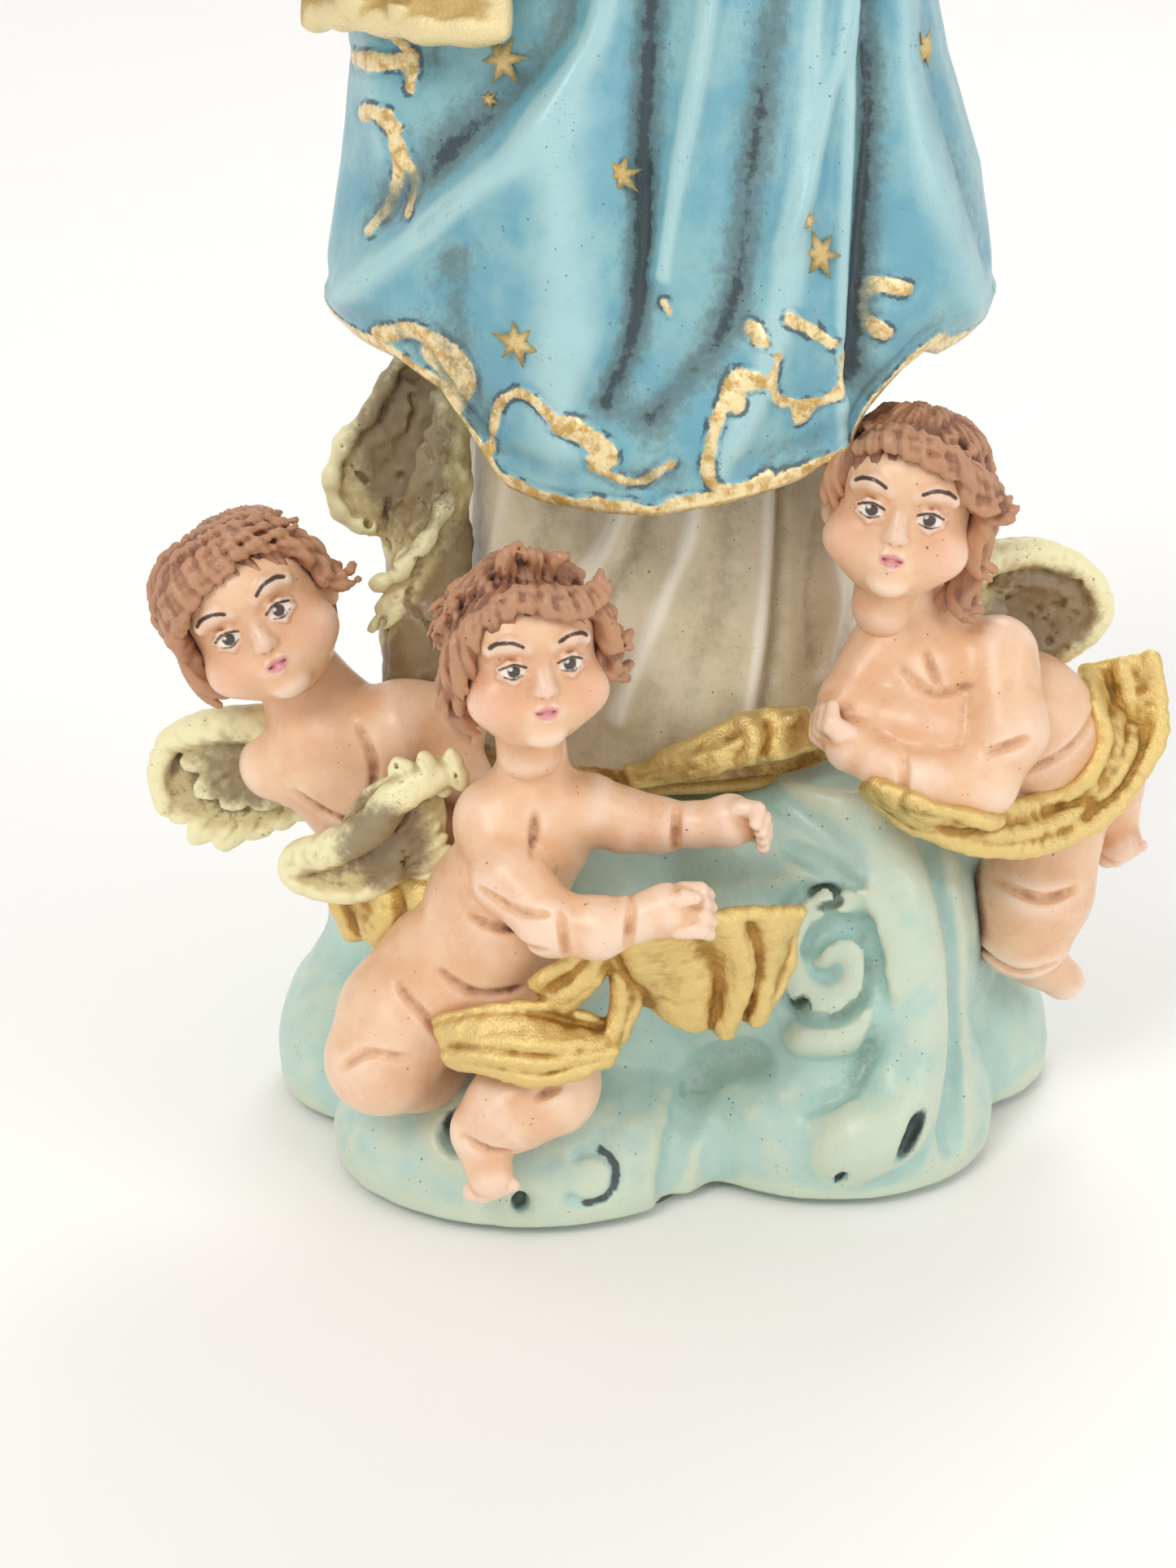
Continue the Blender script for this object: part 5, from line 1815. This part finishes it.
def settleShade():
    step, margin = settle["step"], settle["margin"]
    low, high = [np.array(c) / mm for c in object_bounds()]
    low = low - margin
    count = np.ceil((high + margin - low) / step).astype(int)
    full = np.zeros(count, np.float32)
    objects = [o for o in bpy.context.scene.objects if o.type == "MESH"
               and o.name not in frame["nodes"] and len(o.data.polygons) > settle["leastFaces"]]
    for o in objects:
        mesh = o.data
        points = np.empty(len(mesh.vertices) * 3, np.float32)
        mesh.vertices.foreach_get("co", points)
        points = (points.reshape(-1, 3) / mm - low) / step
        mesh.calc_loop_triangles()
        tris = np.empty(len(mesh.loop_triangles) * 3, np.int32)
        mesh.loop_triangles.foreach_get("vertices", tris)
        grid = openvdb.FloatGrid.createLevelSetFromPolygons(points,
                                                            triangles=tris.reshape(-1, 3).astype(np.uint32),
                                                            halfWidth=3.0)
        part = np.full(count, 3.0, np.float32)
        grid.copyToArray(part)
        full = np.maximum(full, (part < 0).astype(np.float32))
    full[:, :, :int((0.0 - low[2]) / step)] = 1.0      # the table counts too
    soft = Clay.holding(blurred(full, settle["blur"]), low.astype(np.float32), step, 0.0)
    for o in objects:
        mesh = o.data
        points, normals = [np.empty(len(mesh.vertices) * 3, np.float32) for _ in range(2)]
        mesh.vertices.foreach_get("co", points)
        mesh.vertices.foreach_get("normal", normals)
        spot = points.reshape(-1, 3) / mm + normals.reshape(-1, 3) * settle["lift"]
        shade = easeStep(soft.at(spot), settle["clean"], settle["dirty"])
        store(mesh, "shade", shade)
    print("shade settled on", len(objects), "pieces")


settleShade()


def finishPlainParts():
    # the pad and the hidden pins that stay as they are
    p = Paint("greenFelt")
    hair = p.noise(3.5, 5, 0.8)
    tone = p.mix(p.ramp(hair, 0.3, 0.7), srgb("3d5146"), srgb("6d8375"))
    felt = p.finish(tone, 0.95, hair, {"Sheen Weight": 0.4}, 0.2)
    p = Paint("turnedSteel")
    brushed = p.noise(1.2, 3, 0.6, p.stretched((1, 1, 14)))
    tone = p.mix(brushed, srgb("8f9193"), srgb("c2c4c6"))
    steel = p.finish(tone, (brushed - 0.5) * 0.2 + 0.3, brushed, {"Metallic": 1.0}, 0.02)
    plain = {"felt_pad": felt, "figure_dowel": steel, "head_peg": steel, "cherub_pegs": steel}
    for part in bpy.context.scene.objects:
        for spot in part.material_slots if part.name in plain else ():
            spot.material = plain[part.name]
    print("pad and pins finished")


finishPlainParts()


# Camera, floor and light
def lookFrom(spot, aim):
    turn = (Vector(aim) - Vector(spot)).to_track_quat("-Z", "Y").to_matrix().to_4x4()
    turn.translation = Vector(spot)
    return turn


view = {"aim": (-5.7, 0, 25.4), "distance": 230, "tilt": 22, "lens": 66.0, "sensor": 36, "clip": (0.01, 10)}
# name, where each lamp stands and aims in metres, its width, power and colour
lamps = (("key", (-0.45, -0.75, 0.85), (0, 0, 0.05), 0.45, 4.0, (1, 0.985, 0.96)),
         ("fill", (0.75, -0.55, 0.45), (0, 0, 0.05), 0.6, 1.8, (0.97, 0.98, 1)),
         ("rim", (0.2, 0.7, 0.9), (0, 0, 0.08), 0.5, 2.2, (1, 1, 1)))
# the paper sweep in metres: its half width, near edge, where it bends and how tall it stands
sweepSize = {"half": 2.5, "near": -2.0, "bend": 0.7, "radius": 0.5, "top": 2.5}
daylight = {"colour": (1.0, 0.99, 0.97, 1), "power": 0.7}


def addCamera():
    data = bpy.data.cameras.new("camera")
    data.lens, data.sensor_width = view["lens"], view["sensor"]
    data.clip_start, data.clip_end = view["clip"]
    camera = linked("camera", data)
    tilt = math.radians(view["tilt"])
    aim = Vector(view["aim"]) * mm
    spot = aim + Vector((0, -math.cos(tilt), math.sin(tilt))) * view["distance"] * mm
    camera.matrix_world = lookFrom(spot, aim)
    bpy.context.scene.camera = camera


def addLight(name, spot, aim, size, power, colour):
    data = bpy.data.lights.new(name, "AREA")
    data.shape, data.size, data.energy, data.color = "DISK", size, power, colour
    linked(name, data).matrix_world = lookFrom(Vector(spot), Vector(aim))


def addStudio():
    # a pale sweep that curves up behind the statue
    bm = bmesh.new()
    bend, r, wide = sweepSize["bend"], sweepSize["radius"], sweepSize["half"]
    depth = [(sweepSize["near"], 0), (bend, 0)]
    depth += [(bend + r * math.sin(a), r - r * math.cos(a)) for a in np.radians(np.linspace(6, 90, 15))]
    depth += [(bend + r, sweepSize["top"])]
    rows = [[bm.verts.new((x, y, z)) for y, z in depth] for x in (-wide, wide)]
    for i in range(len(depth) - 1):
        bm.faces.new((rows[0][i], rows[1][i], rows[1][i + 1], rows[0][i + 1]))
    mesh = bpy.data.meshes.new("sweep")
    bm.to_mesh(mesh)
    bm.free()
    mesh.shade_smooth()
    sweep = linked("sweep", mesh)
    p = Paint("palePaper")
    tone = p.mix(p.noise(0.02, 2), srgb("fbfaf8"), srgb("fdfcfb"))
    mesh.materials.append(p.finish(tone, 0.7, p.noise(0.6, 2), None, 0.01))
    world = bpy.data.worlds.new("studio")
    world.use_nodes = True
    sky = world.node_tree.nodes["Background"].inputs
    sky[0].default_value, sky[1].default_value = daylight["colour"], daylight["power"]
    bpy.context.scene.world = world
    for lamp in lamps:
        addLight(*lamp)
    bpy.context.scene.view_settings.view_transform = "Standard"


addCamera()
addStudio()

print("size written")
